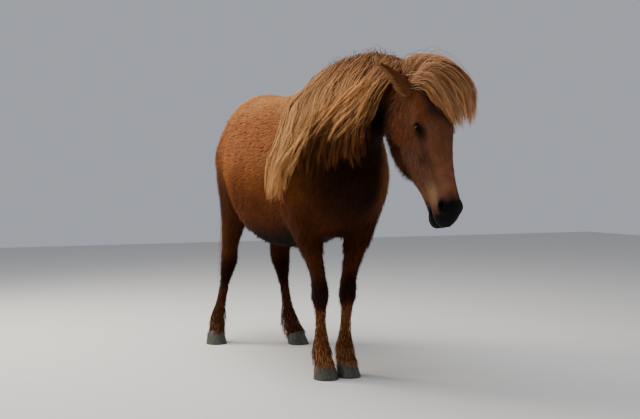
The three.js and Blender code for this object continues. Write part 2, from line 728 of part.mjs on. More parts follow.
// The tail: a core of dock and close hair half way down, and long locks round it to the tip
const tailLine = new THREE.CatmullRomCurve3([
  vec(-1168, 15, 1190),
  vec(-1222, 14, 1204),
  vec(-1268, 11, 1150),
  vec(-1286, 2, 1020),
  vec(-1288, -18, 860),
  vec(-1284, -48, 690),
  vec(-1280, -74, 520),
  vec(-1278, -90, 380),
  vec(-1276, -98, 262),
]);
const tail = { coreEnd: 0.52, coreRows: 8, coreSides: 8, locks: 12, width: 66 };
function tailSolid() {
  const points = [tailLine.getPointAt(0)];
  for (let r = 0; r < tail.coreRows; r++) {
    const share = mix(0.01, tail.coreEnd, r / (tail.coreRows - 1));
    const run = tailLine.getTangentAt(share);
    const across = run.clone().cross(vec(1, 0, 0.2)).normalize();
    const out = across.clone().cross(run).normalize();
    const half = mix(30, 46, smooth(clamp(share / 0.3, 0, 1))) * (1 - 0.7 * smooth(clamp((share - 0.36) / 0.16, 0, 1)));
    for (let k = 0; k < tail.coreSides; k++) {
      const angle = (2 * Math.PI * k) / tail.coreSides;
      points.push(
        tailLine.getPointAt(share)
          .addScaledVector(across, half * Math.cos(angle))
          .addScaledVector(out, 0.8 * half * Math.sin(angle)),
      );
    }
  }
  points.push(tailLine.getPointAt(tail.coreEnd + 0.02));
  const draw = draws(47);
  const parts = [solid(ringed(points, tail.coreRows, tail.coreSides))];
  for (let i = 0; i < tail.locks; i++) {
    const angle = (2 * Math.PI * i * 3) / tail.locks + draw(-0.15, 0.15);
    const start = i % 2 ? draw(0.1, 0.2) : draw(0.28, 0.4);
    const end = draw(0.82, 1);
    const line = [];
    const facing = [];
    for (let j = 0; j <= 6; j++) {
      const share = mix(start, end, j / 6);
      const run = tailLine.getTangentAt(share);
      const across = run.clone().cross(vec(1, 0, 0.2)).normalize();
      const out = across.clone().cross(run).normalize();
      const way = across.multiplyScalar(Math.cos(angle)).addScaledVector(out, Math.sin(angle));
      const spread = mix(22, 46, smooth(clamp(j / 2, 0, 1))) * (1 - 0.72 * smooth(clamp((share - 0.35) / 0.6, 0, 1)));
      line.push(tailLine.getPointAt(share).addScaledVector(way, spread));
      facing.push(way.clone());
    }
    parts.push(lock(line, facing, tail.width * draw(0.85, 1.15), 22));
  }
  return joined(parts);
}

// The feather: short locks down the back of each fetlock
const feather = { count: 4, length: 92, width: 34 };
function featherLocks(name) {
  const form = legs[name];
  const draw = draws(71);
  const rib = form.ribs[6];
  const locks = [];
  for (let i = 0; i < feather.count; i++) {
    const angle = -Math.PI / 2 + mix(-0.9, 0.9, i / (feather.count - 1));
    const root = form.pointOn(rib, angle, 0);
    const out = root.clone().sub(rib.centre).normalize();
    const line = [];
    for (let j = 0; j <= 4; j++) {
      const share = j / 4;
      const away = mix(-10, 20, Math.pow(share, 0.6));
      line.push(root.clone().addScaledVector(out, away).addScaledVector(up, -feather.length * draw(0.94, 1.04) * share));
    }
    locks.push(lock(line, line.map(() => out), feather.width, 12));
  }
  return locks;
}

// The largest closed surface of a solid, which fills hollows sealed by joining and drops loose scraps
function largestSurface(made) {
  const { vertProperties, triVerts, numVert } = made.getMesh();
  const leader = Array.from({ length: numVert }, (_, i) => i);
  const find = (i) => {
    while (leader[i] !== i) {
      leader[i] = leader[leader[i]];
      i = leader[i];
    }
    return i;
  };
  for (let t = 0; t < triVerts.length; t += 3) {
    leader[find(triVerts[t + 1])] = find(triVerts[t]);
    leader[find(triVerts[t + 2])] = find(triVerts[t]);
  }
  const corner = (i) => vec(...vertProperties.subarray(3 * i, 3 * i + 3));
  const surfaces = new Map();
  for (let t = 0; t < triVerts.length; t += 3) {
    const [a, b, c] = triVerts.subarray(t, t + 3);
    const key = find(a);
    if (!surfaces.has(key)) surfaces.set(key, { volume: 0, corners: [] });
    const surface = surfaces.get(key);
    surface.corners.push(corner(a), corner(b), corner(c));
    surface.volume += corner(a).dot(corner(b).cross(corner(c)));
  }
  const biggest = [...surfaces.values()].reduce((a, b) => (b.volume > a.volume ? b : a));
  return new THREE.BufferGeometry().setFromPoints(biggest.corners);
}

// A surface in which each edge that four faces share is closed up to a point
function withoutDoubleEdges(surface) {
  const merged = mergeVertices(surface, nearPoints);
  const { position } = merged.attributes;
  const corners = merged.index.array;
  const uses = new Map();
  for (let t = 0; t < corners.length; t++) {
    const next = t % 3 === 2 ? t - 2 : t + 1;
    const ends = [corners[t], corners[next]].sort((a, b) => a - b);
    uses.set(ends.join(), { ends, count: (uses.get(ends.join())?.count ?? 0) + 1 });
  }
  for (const { ends, count } of uses.values()) {
    if (count < 3) continue;
    const [kept, moved] = ends;
    position.setXYZ(moved, position.getX(kept), position.getY(kept), position.getZ(kept));
  }
  return merged;
}

// The surface of a solid, drawn in by a hair at each point where it touches itself
function unpinched(made) {
  const { vertProperties, triVerts, numVert } = made.getMesh();
  const surface = new THREE.BufferGeometry();
  surface.setAttribute("position", new THREE.BufferAttribute(new Float32Array(vertProperties), 3));
  surface.setIndex(new THREE.BufferAttribute(new Uint32Array(triVerts), 1));
  surface.computeVertexNormals();
  const { position, normal } = surface.attributes;
  const at = (i) => new THREE.Vector3().fromBufferAttribute(position, i);
  const places = new Map();
  for (let i = 0; i < numVert; i++) {
    const key = at(i).divideScalar(nearPoints).round().toArray().join();
    places.set(key, [...(places.get(key) ?? []), i]);
  }
  const touching = [...places.values()].filter((place) => place.length > 1).flat();
  for (const i of touching) {
    const inward = new THREE.Vector3().fromBufferAttribute(normal, i).multiplyScalar(-hair);
    position.setXYZ(i, ...at(i).add(inward));
  }
  surface.deleteAttribute("normal");
  return surface;
}

// The nodes
const model = new THREE.Group();
function addNode(name, made, look) {
  const plain = withoutDoubleEdges(largestSurface(solid(largestSurface(made))));
  const whole = solid(largestSurface(solid(plain)));
  const geometry = mergeVertices(unpinched(whole), nearPoints);
  geometry.computeVertexNormals();
  const mesh = new THREE.Mesh(geometry, new THREE.MeshStandardMaterial(look));
  mesh.name = name;
  model.add(mesh);
}

const front = flesh.intersect(pastNeckBase(0));
const ears = joined(Object.keys(earPose).map((name) => earSolid(name, gap)));
const notNeck = grownFlesh.subtract(pastNeckBase(0).subtract(pastJawBack(gap))).add(ears);
const neckFlesh = front.subtract(pastJawBack(gap));
addNode("neck", neckFlesh.add(joined(maneLocks()).subtract(notNeck)), finish.coat);

const grownMane = joined(maneLocks(gap));
const notHead = joined([grownFlesh.subtract(pastJawBack(0)), ears, grownMane, eyeSolid(1, gap), eyeSolid(-1, gap)]);
const headFlesh = dressedHead(front.intersect(pastJawBack(0)));
addNode("head", headFlesh.add(joined(forelockLocks()).subtract(notHead)), finish.coat);

let body = flesh.subtract(pastNeckBase(gap));
for (const name of legNames) {
  body = body.subtract(legZone(name, gap));
  const leg = flesh.intersect(legZone(name, 0)).add(joined(featherLocks(name)));
  addNode(`leg_${name}`, leg.subtract(hoofSolid(name, gap)), finish.coat);
  addNode(`hoof_${name}`, hoofSolid(name, 0), finish.horn);
}
addNode("torso", body, finish.coat);
addNode("tail", tailSolid().subtract(grownFlesh), finish.coat);
for (const [name, { side }] of Object.entries(earPose)) {
  addNode(`ear_${name}`, earSolid(name).subtract(grownFlesh), finish.coat);
  addNode(`eye_${name}`, eyeSolid(side, 0), finish.eye);
}

const middle = new THREE.Box3().setFromObject(model).getCenter(new THREE.Vector3()).round();
model.position.set(-middle.x, -middle.y, 0);

export default model;
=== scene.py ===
import json
import math

import bmesh
import bpy
import mathutils.kdtree
import numpy as np
import openvdb
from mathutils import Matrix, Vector


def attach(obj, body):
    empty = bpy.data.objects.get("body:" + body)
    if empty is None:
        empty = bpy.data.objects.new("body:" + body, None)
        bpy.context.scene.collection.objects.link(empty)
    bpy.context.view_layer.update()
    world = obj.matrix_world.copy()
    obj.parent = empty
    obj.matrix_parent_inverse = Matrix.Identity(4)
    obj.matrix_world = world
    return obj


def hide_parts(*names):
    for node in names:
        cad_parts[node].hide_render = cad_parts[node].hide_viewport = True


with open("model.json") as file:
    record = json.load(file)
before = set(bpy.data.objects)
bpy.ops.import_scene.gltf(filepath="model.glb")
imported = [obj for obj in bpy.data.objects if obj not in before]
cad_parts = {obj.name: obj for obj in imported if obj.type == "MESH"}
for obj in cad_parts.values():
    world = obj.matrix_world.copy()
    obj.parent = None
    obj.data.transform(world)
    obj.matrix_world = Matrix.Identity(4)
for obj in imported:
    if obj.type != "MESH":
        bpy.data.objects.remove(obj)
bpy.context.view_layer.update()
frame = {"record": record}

# The camera stands ahead of the horse on its right, at the height of its back.
# The horse's forms are laid out with x = 0 over the front hooves, and the sole of the
# right front hoof, which the record gives as a mount, says where that layout lies.
front_right_foot = np.array([0.004, -0.047, 0.0])
sole = next(m for m in frame["record"]["mounts"] if m["name"] == "sole_front_right")
layout = np.array(sole["pos_m"]) - front_right_foot
camera_place = layout + [4.095, -1.897, 0.92]
camera_yaw = math.radians(156.0)
camera_pitch = math.radians(-1.88)
camera = bpy.data.objects.new("camera", bpy.data.cameras.new("camera"))
camera.data.sensor_width = 36.0
camera.data.lens = 990 / 640 * 36.0
camera.location = camera_place
look = Vector(
    (
        math.cos(camera_yaw) * math.cos(camera_pitch),
        math.sin(camera_yaw) * math.cos(camera_pitch),
        math.sin(camera_pitch),
    )
)
camera.rotation_mode = "QUATERNION"
camera.rotation_quaternion = look.to_track_quat("-Z", "Y")
bpy.context.scene.collection.objects.link(camera)
bpy.context.scene.camera = camera

# The flesh: trunk, neck, head and four legs, each a run of flat rounded sections, eased
# together where they meet. This is the shape that the coat is laid on, and every other
# piece is placed by it. Tables are in millimetres, as a sculptor would note them.
mm = 0.001
up = np.array([0.0, 0.0, 1.0])


def smooth(t):
    t = np.clip(t, 0, 1)
    return t * t * (3 - 2 * t)


def mix(a, b, t):
    return a + (b - a) * t


def unit(v):
    return v / np.maximum(np.linalg.norm(v, axis=-1, keepdims=True), 1e-9)


def through_rows(rows, at):
    """A smooth curve through a table's rows that never swings past them."""
    x = rows[:, 0]
    h = np.diff(x)
    s = np.diff(rows, axis=0) / h[:, None]
    p = (s[:-1] * h[1:, None] + s[1:] * h[:-1, None]) / (h[:-1] + h[1:])[:, None]
    least = np.minimum(np.minimum(abs(s[:-1]), abs(s[1:])), 0.5 * abs(p))
    slope = np.zeros_like(rows)
    slope[1:-1] = (np.sign(s[:-1]) + np.sign(s[1:])) * least
    i = np.clip(np.searchsorted(x, at, side="right") - 1, 0, len(x) - 2)
    t = ((at - x[i]) / h[i])[:, None]
    m0 = slope[i] * h[i][:, None]
    m1 = slope[i + 1] * h[i][:, None]
    a = rows[i]
    b = rows[i + 1]
    t2 = t * t
    t3 = t2 * t
    return a * (2 * t3 - 3 * t2 + 1) + m0 * (t3 - 2 * t2 + t) + b * (3 * t2 - 2 * t3) + m1 * (t3 - t2)


class Form:
    """A closed body through a row of flat rounded sections."""

    def __init__(self, rows, place, parallel=True):
        rows = np.array(rows, float)
        pairs = zip(rows[:-1, 0], rows[1:, 0])
        at = [np.linspace(a, b, 3, endpoint=False) for a, b in pairs]
        sections = place(through_rows(rows, np.concatenate([*at, rows[-1:, 0]])))
        self.centre, self.up, self.side, self.high, self.deep, self.half, self.top, self.low = sections
        self.along = unit(np.cross(self.side, self.up))
        run = self.centre[1] - self.centre[0]
        if run @ self.along[0] < 0:
            self.along = -self.along
        self.parallel = parallel
        reach = np.maximum(np.maximum(self.high, self.deep), self.half)[:, None]
        self.lowest = (self.centre - reach).min(0)
        self.highest = (self.centre + reach).max(0)

    def distance(self, points):
        """How far each point is from the surface, less than nothing inside."""
        if self.parallel:
            knots = self.centre @ self.along[0]
            s = points @ self.along[0]
            i = np.clip(np.searchsorted(knots, s) - 1, 0, len(knots) - 2)
            t = (s - knots[i]) / (knots[i + 1] - knots[i])
            past = np.maximum(np.maximum(knots[0] - s, s - knots[-1]), 0)
        else:
            ahead = points @ self.along.T - (self.centre * self.along).sum(1)
            crossed = (ahead[:, :-1] >= 0) & (ahead[:, 1:] < 0)
            nearest_end = np.where(ahead[:, 0] < 0, 0, ahead.shape[1] - 2)
            i = np.where(crossed.any(1), crossed.argmax(1), nearest_end)
            rows = np.arange(len(points))
            a = ahead[rows, i]
            b = ahead[rows, i + 1]
            t = a / np.where(abs(a - b) > 1e-9, a - b, 1)
            past = np.where(crossed.any(1), 0, np.maximum(-ahead[:, 0], ahead[:, -1]))
            past = np.maximum(past, 0)
        t = np.clip(t, 0, 1)

        def here(values):
            return mix(values[i], values[i + 1], t if values.ndim == 1 else t[:, None])

        local = points - here(self.centre)
        y = (local * here(self.side)).sum(1)
        z = (local * here(self.up)).sum(1)
        v = z / np.where(z >= 0, here(self.high), here(self.deep))
        full = np.where(v >= 0, here(self.top), here(self.low))
        half = here(self.half)
        ratio = np.ones(len(points))
        for _ in range(3):
            wide = half * (1 + (full - 1) * smooth(abs(v) / ratio))
            ratio = np.hypot(y / wide, v) + 1e-6
        radial = np.hypot(y, z) * (1 - 1 / ratio)
        return np.where(past > 0, np.hypot(np.maximum(radial, 0), past), radial)


# The trunk: x, lowest z, z of the widest line, highest z, half width, fullness above and below
trunk_rows = [
    [-1238, 1030, 1065, 1100, 30, 1, 1],
    [-1218, 965, 1055, 1175, 102, 1, 1],
    [-1170, 912, 1042, 1246, 160, 1, 0.95],
    [-1095, 865, 1030, 1312, 204, 1.02, 0.9],
    [-1000, 800, 1015, 1354, 232, 1.05, 0.9],
    [-900, 705, 1000, 1366, 252, 1.02, 0.92],
    [-800, 628, 970, 1356, 281, 1, 0.96],
    [-690, 586, 940, 1340, 304, 0.98, 1],
    [-560, 570, 920, 1328, 318, 0.95, 1],
    [-430, 574, 915, 1332, 312, 0.9, 1],
    [-300, 596, 920, 1350, 298, 0.8, 1],
    [-180, 622, 925, 1380, 284, 0.66, 1],
    [-100, 638, 925, 1383, 274, 0.62, 1],
    [0, 656, 925, 1325, 256, 0.72, 1],
    [90, 704, 935, 1215, 224, 0.9, 1],
    [150, 770, 945, 1110, 174, 1, 1],
    [188, 832, 948, 1052, 116, 1, 1],
    [208, 900, 950, 1000, 46, 1, 1],
]
body_shift = 15


def trunk_section(table):
    x, low, middle, high, half, top, under = table.T
    n = len(x)
    centre = np.stack([x, np.full(n, body_shift), middle], 1) * mm
    upward, side = np.tile(up, (n, 1)), np.tile([0.0, 1.0, 0.0], (n, 1))
    return [centre, upward, side, (high - middle) * mm, (middle - low) * mm, half * mm, top, under]


trunk = Form(trunk_rows, trunk_section)

# The neck: share, crest x and z, throat x and z, half width, fullness above and below
neck_rows = [
    [0, -200, 1325, 40, 850, 140, 0.8, 1],
    [1, -110, 1372, 135, 905, 158, 0.6, 1],
    [2, 10, 1396, 184, 980, 146, 0.5, 1],
    [3, 125, 1409, 222, 1036, 126, 0.46, 1],
    [4, 235, 1411, 266, 1076, 108, 0.46, 1],
    [5, 335, 1398, 318, 1098, 96, 0.5, 1],
    [6, 422, 1372, 368, 1112, 87, 0.6, 1],
    [7, 486, 1340, 408, 1122, 79, 0.8, 1],
    [8, 528, 1300, 444, 1134, 66, 1, 1],
]


def neck_swing(x):
    return body_shift + 118 * np.clip((x + 120) / 630, 0, 1.2) ** 1.35


def neck_section(table):
    _, crest_x, crest_z, throat_x, throat_z, half, top, under = table.T
    crest = np.stack([crest_x, neck_swing(crest_x), crest_z], 1)
    throat = np.stack([throat_x, neck_swing(throat_x), throat_z], 1)
    rise = crest - throat
    middle = 0.48
    swing = (neck_swing(throat_x + 10) - neck_swing(throat_x - 10)) / 20
    run = np.stack([np.ones_like(swing), swing, np.zeros_like(swing)], 1)
    upward = unit(rise)
    length = np.linalg.norm(rise, axis=1)
    centre = (throat + rise * middle) * mm
    side = unit(np.cross(upward, run))
    return [centre, upward, side, length * (1 - middle) * mm, length * middle * mm, half * mm, top, under]


neck = Form(neck_rows, neck_section, parallel=False)

# The head: distance down it, face line, widest line, jaw line, half width, fullness above and below
head_rows = [
    [-22, 20, 0, -22, 26, 1, 1],
    [-8, 44, 4, -60, 54, 1, 0.9],
    [30, 66, 14, -112, 72, 1.05, 0.82],
    [80, 84, 22, -164, 87, 1.1, 0.78],
    [140, 94, 28, -202, 99, 1.15, 0.74],
    [195, 96, 28, -214, 105, 1.15, 0.7],
    [245, 92, 20, -206, 99, 1.1, 0.72],
    [300, 84, 8, -182, 83, 1.05, 0.78],
    [360, 74, 0, -150, 69, 1.05, 0.8],
    [425, 66, -8, -118, 60, 1.1, 0.82],
    [480, 63, -10, -100, 58, 1.15, 0.86],
    [530, 62, -10, -90, 60, 1.2, 0.86],
    [570, 50, -14, -88, 57, 1.15, 0.86],
    [597, 30, -20, -80, 46, 1.05, 0.9],
    [615, 4, -26, -54, 25, 1, 1],
]
poll = np.array([512, 131, 1314]) * mm
head_yaw = math.radians(18)
head_tilt = math.radians(18)
head_forward = np.array([math.cos(head_yaw), math.sin(head_yaw), 0])
head_left = np.array([-math.sin(head_yaw), math.cos(head_yaw), 0])
head_down = head_forward * math.sin(head_tilt) - up * math.cos(head_tilt)
head_face = head_forward * math.cos(head_tilt) + up * math.sin(head_tilt)
head_axes = np.array([head_down, head_face, head_left])


def head_way(down, face, left):
    return np.array([down, face, left], float) @ head_axes


def in_head(down, face, left):
    return poll + head_way(down, face, left) * mm


def head_section(table):
    down, face, middle, jaw, half, top, under = table.T
    n = len(down)
    centre = poll + (down[:, None] * head_down + middle[:, None] * head_face) * mm
    face_way, left_way = np.tile(head_face, (n, 1)), np.tile(head_left, (n, 1))
    return [centre, face_way, left_way, (face - middle) * mm, (middle - jaw) * mm, half * mm, top, under]


head = Form(head_rows, head_section)

# The legs: z, back x, front x and half width, measured from the hoof's own middle
front_leg_rows = [
    [20, -38, 26, 24],
    [50, -48, 34, 38],
    [74, -52, 38, 43],
    [95, -60, 26, 36],
    [118, -74, 12, 34],
    [142, -86, 4, 39],
    [166, -82, -2, 36],
    [200, -74, -10, 29],
    [260, -71, -11, 27],
    [305, -73, -6, 32],
    [340, -82, 6, 41],
    [378, -90, 14, 48],
    [415, -88, 14, 46],
    [460, -90, 8, 43],
    [530, -106, 16, 49],
    [610, -132, 32, 60],
    [690, -166, 52, 76],
    [760, -192, 76, 90],
    [830, -202, 106, 94],
    [900, -196, 122, 84],
    [970, -170, 118, 48],
]
hind_leg_rows = [
    [20, -38, 26, 24],
    [50, -46, 32, 38],
    [72, -50, 36, 42],
    [95, -58, 24, 36],
    [120, -72, 12, 35],
    [150, -86, 4, 40],
    [176, -84, -4, 37],
    [212, -78, -14, 31],
    [265, -76, -16, 29],
    [325, -80, -18, 31],
    [375, -88, -12, 38],
    [415, -98, 0, 45],
    [455, -112, 10, 49],
    [495, -120, 22, 47],
    [535, -118, 42, 44],
    [585, -102, 76, 50],
    [645, -88, 124, 60],
    [710, -82, 186, 74],
    [780, -84, 258, 89],
    [850, -92, 312, 102],
    [920, -102, 336, 112],
    [1000, -104, 326, 114],
    [1080, -88, 288, 98],
    [1150, -46, 214, 62],
]
hind_square_x = -1120
stance = {
    "front_right": dict(foot=(4, -47), joint_z=390, joint_y=-62, root_y=-114, turn=-4),
    "front_left": dict(foot=(-4, 71), joint_z=390, joint_y=86, root_y=148, turn=4),
    "hind_right": dict(foot=(-1120, -202), joint_z=455, joint_y=-112, root_y=-108, turn=-6),
    "hind_left": dict(foot=(-928, 206), joint_z=455, joint_y=174, root_y=140, turn=44),
}


def leg_form(name):
    hind = name.startswith("hind")
    rows = hind_leg_rows if hind else front_leg_rows
    set_at = stance[name]
    foot_x, foot_y = set_at["foot"]

    def section(table):
        z, back, front, half = table.T
        step = (foot_x - hind_square_x) * (1 - smooth(z / 980)) if hind else np.zeros_like(z)
        x = (hind_square_x if hind else foot_x) + step
        joint_z = set_at["joint_z"]
        share = np.clip((z - 60) / (joint_z - 60), 0, 1)
        above = (z - joint_z) / (0.72 * rows[-1][0] - joint_z)
        y = mix(mix(foot_y, set_at["joint_y"], share), set_at["root_y"], smooth(above))
        turned = np.radians(set_at["turn"]) * (1 - np.clip(z / 900, 0, 1))
        ahead = np.stack([np.cos(turned), np.sin(turned), 0 * z], 1)
        across = np.stack([-np.sin(turned), np.cos(turned), 0 * z], 1)
        centre = np.stack([x, y, z], 1) + ahead * ((back + front) / 2)[:, None]
        long = (front - back) / 2 * mm
        n = len(z)
        return [centre * mm, ahead, across, long, long, half * mm, np.full(n, 1.05), np.full(n, 0.95)]

    return Form(rows, section)


legs = {name: leg_form(name) for name in stance}


def eased(a, b, reach):
    """The nearer of two distances, rounded off where both are near."""
    return np.minimum(a, b) - np.maximum(reach - abs(a - b), 0) ** 2 / (4 * reach)


def off_ball(local, centre, sizes, axes):
    """Distance from a stretched ball, in the head's own millimetres."""
    p = (local - centre) @ axes.T
    sizes = np.array(sizes, float)
    near = np.linalg.norm(p / sizes, axis=1)
    slope = np.linalg.norm(p / sizes**2, axis=1)
    return near * (near - 1) / np.maximum(slope, 1e-9)


# The eyes sit in the sides of the head, each looking out and a little ahead
eye_place = np.array([222.0, 30.0, 86.0])
eye_radius = 21.0
eye_look = unit(np.array([0.08, 0.34, 0.94]))
eye_corner = np.array([0.94, 0.3, 0.0])
eye_corner = unit(eye_corner - (eye_corner @ eye_look) * eye_look)
eye_axes = np.array([eye_corner, np.cross(eye_look, eye_corner), eye_look])
pit_slant = unit(np.array([0.8, -0.6, 0.0]))
pit_axes = np.array([pit_slant, np.cross([0, 0, 1.0], pit_slant), [0, 0, 1.0]])
straight = np.eye(3)

# Forms worked into the plain head: raised (1) or sunk (-1), then place, sizes, how softly, and axes
head_forms = {
    "brow": (1, [188, 44, 78], [36, 18, 24], 22, straight),
    "cheek": (1, [150, -84, 62], [92, 88, 34], 26, straight),
    "cheekbone": (1, [296, 6, 74], [66, 9, 12], 22, straight),
    "hollow before the cheek": (-1, [330, -64, 96], [60, 34, 20], 26, straight),
    "hollow below the brow": (-1, [262, 62, 96], [40, 12, 16], 18, straight),
    "lids": (1, [224, 30, 84], [29, 21, 24], 9, eye_axes),
    "nostril's wing": (1, [546, 22, 41], [30, 25, 25], 16, straight),
    "upper lip": (1, [574, -14, 20], [34, 26, 32], 16, straight),
    "chin": (1, [576, -68, 0], [38, 27, 36], 14, straight),
    "lower lip": (1, [560, -54, 30], [40, 12, 18], 12, straight),
    "eye's opening": (-1, eye_place + eye_look * eye_radius, [18, 9.5, 17], 3, eye_axes),
    "nostril": (-1, [548, 20, 62], [17, 8, 18], 6, pit_axes),
}
mouth_place = np.array([560, -42, 0])
mouth_sizes = [64, 2.2, 104]
mouth_depth = 7


def dressed_head(points, away):
    """Brow, cheek, lids, nostrils, lips and chin, worked into the plain head."""
    local = (points - poll) @ head_axes.T / mm
    local[:, 2] = abs(local[:, 2])
    d = away / mm
    for sign, place, sizes, reach, axes in head_forms.values():
        d = sign * eased(sign * d, off_ball(local, place, sizes, axes), reach)
    slot = off_ball(local, mouth_place, mouth_sizes, straight)
    d = np.maximum(d, -np.maximum(slot, -(d + mouth_depth)))
    return d * mm


joins = [(trunk, 0.09), (neck, 0.09), (head, 0.045)] + [(leg, 0.06) for leg in legs.values()]


def off_flesh(points):
    """Signed distance from the horse's outer surface, at its coat's tips, in the layout."""
    away = np.full(len(points), 0.4)
    for form, reach in joins:
        near = np.all((points > form.lowest - 0.16) & (points < form.highest + 0.16), axis=1)
        away[near] = eased(away[near], form.distance(points[near]), reach)
    near = np.linalg.norm(points - in_head(330, 0, 0), axis=1) < 0.42
    away[near] = dressed_head(points[near], away[near])
    return away


def shares(points):
    """How far each point belongs to trunk, neck, head, front legs and hind legs."""
    front = [legs["front_right"], legs["front_left"]]
    hind = [legs["hind_right"], legs["hind_left"]]
    away = []
    for group in ([trunk], [neck], [head], front, hind):
        nearest = np.full(len(points), 0.4)
        for form in group:
            near = np.all((points > form.lowest - 0.1) & (points < form.highest + 0.1), axis=1)
            nearest[near] = np.minimum(nearest[near], form.distance(points[near]))
        away.append(nearest)
    weight = np.exp(-(np.array(away).T - np.min(away, axis=0)[:, None]) / 0.02)
    return weight / weight.sum(1, keepdims=True)


def head_local(points):
    return (points - poll) @ head_axes.T / mm


def coat_length(points, belongs):
    """Length of the winter hair at each point: longest under belly, jaw and fetlocks."""
    z = points[:, 2]
    local = head_local(points)
    down, face = local[:, 0], local[:, 1]
    trunk_length = mix(0.034, 0.062, smooth((0.86 - z) / 0.24))
    neck_length = mix(0.036, 0.056, smooth((1.16 - z) / 0.16))
    head_length = mix(0.010, 0.030, smooth((20 - face) / 90)) * mix(1.0, 0.25, smooth((down - 330) / 170))
    jaw = smooth((-face - 95) / 60) * smooth((470 - down) / 160)
    head_length = mix(head_length, 0.056, jaw)
    leg_length = mix(0.022, 0.036, smooth((z - 0.45) / 0.25))
    return (
        belongs[:, 0] * trunk_length
        + belongs[:, 1] * neck_length
        + belongs[:, 2] * head_length
        + (belongs[:, 3] + belongs[:, 4]) * leg_length
    )


deepest_coat = 0.017


def coat_depth(length):
    """The skin lies this far inside the tips."""
    return np.clip(0.42 * length, 0.003, deepest_coat)


# The skin: one closed surface under the whole coat, fine on the head and coarser on the body,
# bare enough to show only on the muzzle, lids and inside the thighs.
cell = 0.0098
low = np.array([-1.32, -0.36, -0.02])
high = np.array([0.80, 0.42, 1.50])
count = np.ceil((high - low) / cell).astype(int)
axis_points = [low[k] + cell * np.arange(count[k]) for k in range(3)]
grid = np.stack(np.meshgrid(*axis_points, indexing="ij"), -1).reshape(-1, 3)
field = off_flesh(grid).astype(np.float32)
close = abs(field) < 0.05
close_points = grid[close]
close_length = coat_length(close_points, shares(close_points))
inner = field.copy()
inner[close] += coat_depth(close_length).astype(np.float32)
inner[~close & (field > 0)] += deepest_coat
volume = openvdb.FloatGrid(0.4)
volume.copyFromArray(inner.reshape(count))
volume.transform = openvdb.createLinearTransform(cell)
skin_points, skin_quads = volume.convertToQuads(0.0)[:2]
skin_points = skin_points.astype(float) + low
field = field.reshape(count)
slope = np.stack(np.gradient(field, cell), -1).astype(np.float32)


def probe(points):
    """Distance from the coat's surface, and the way straight out, read from the grid."""
    place = np.clip((points - low) / cell, 0, np.array(field.shape) - 1.001)
    i = place.astype(int)
    t = place - i
    away = np.zeros(len(points))
    out = np.zeros((len(points), 3))
    for corner in np.ndindex(2, 2, 2):
        corner = np.array(corner)
        weight = np.prod(np.where(corner, t, 1 - t), axis=1)
        j = i + corner
        away += weight * field[j[:, 0], j[:, 1], j[:, 2]]
        out += weight[:, None] * slope[j[:, 0], j[:, 1], j[:, 2]]
    return away, unit(out)


skin_mesh = bpy.data.meshes.new("skin")
skin_mesh.from_pydata(skin_points.tolist(), [], skin_quads.tolist())
skin_mesh.update()


def read(mesh, group, name, width, kind=float):
    """A mesh's own numbers, a row for each point, edge or face."""
    flat = np.empty(len(getattr(mesh, group)) * width, kind)
    getattr(mesh, group).foreach_get(name, flat)
    return flat.reshape(-1, width)


def one_side(local):
    """The head's own places, with its two sides laid over one another."""
    return abs(local * [1, 0, 1]) + local * [0, 1, 0]


def refined(mesh, chosen):
    """Halves the edges of the chosen faces."""
    shape = bmesh.new()
    shape.from_mesh(mesh)
    shape.faces.ensure_lookup_table()
    edges = {edge for i in np.flatnonzero(chosen) for edge in shape.faces[i].edges}
    bmesh.ops.subdivide_edges(shape, edges=list(edges), cuts=1, use_grid_fill=True)
    shape.to_mesh(mesh)
    shape.free()


middles = head_local(read(skin_mesh, "polygons", "center", 3))
refined(skin_mesh, (middles[:, 0] > 10) & (middles[:, 1] > -240) & (abs(middles[:, 2]) < 150))
middles = one_side(head_local(read(skin_mesh, "polygons", "center", 3)))
fine_spots = {"eye": (222, 36, 92, 46), "nostril": (556, 0, 46, 60), "lips": (580, -40, 0, 56)}
fine = [np.linalg.norm(middles - spot[:3], axis=1) < spot[3] for spot in fine_spots.values()]
refined(skin_mesh, np.any(fine, axis=0))
shape = bmesh.new()
shape.from_mesh(skin_mesh)
bmesh.ops.triangulate(shape, faces=shape.faces[:], quad_method="SHORT_EDGE")
bmesh.ops.recalc_face_normals(shape, faces=shape.faces[:])
shape.to_mesh(skin_mesh)
shape.free()


def off_skin(points):
    return off_flesh(points) + coat_depth(coat_length(points, shares(points)))


def settle(points, rounds):
    """Moves points straight onto the skin's surface."""
    step = 0.0008
    for _ in range(rounds):
        away = off_skin(points)
        out = np.stack([off_skin(points + step * way) - away for way in np.eye(3)], 1) / step
        steep = np.maximum((out**2).sum(1), 0.3)
        points = points - np.clip(away / steep, -0.004, 0.004)[:, None] * out
    return points


def loose_average(mesh, points):
    """Each point drawn to the middle of its neighbours."""
    edges = read(mesh, "edges", "vertices", 2, int)
    total = np.zeros_like(points)
    number = np.zeros(len(points))
    for a, b in ((0, 1), (1, 0)):
        np.add.at(total, edges[:, a], points[edges[:, b]])
        np.add.at(number, edges[:, a], 1)
    return total / number[:, None]


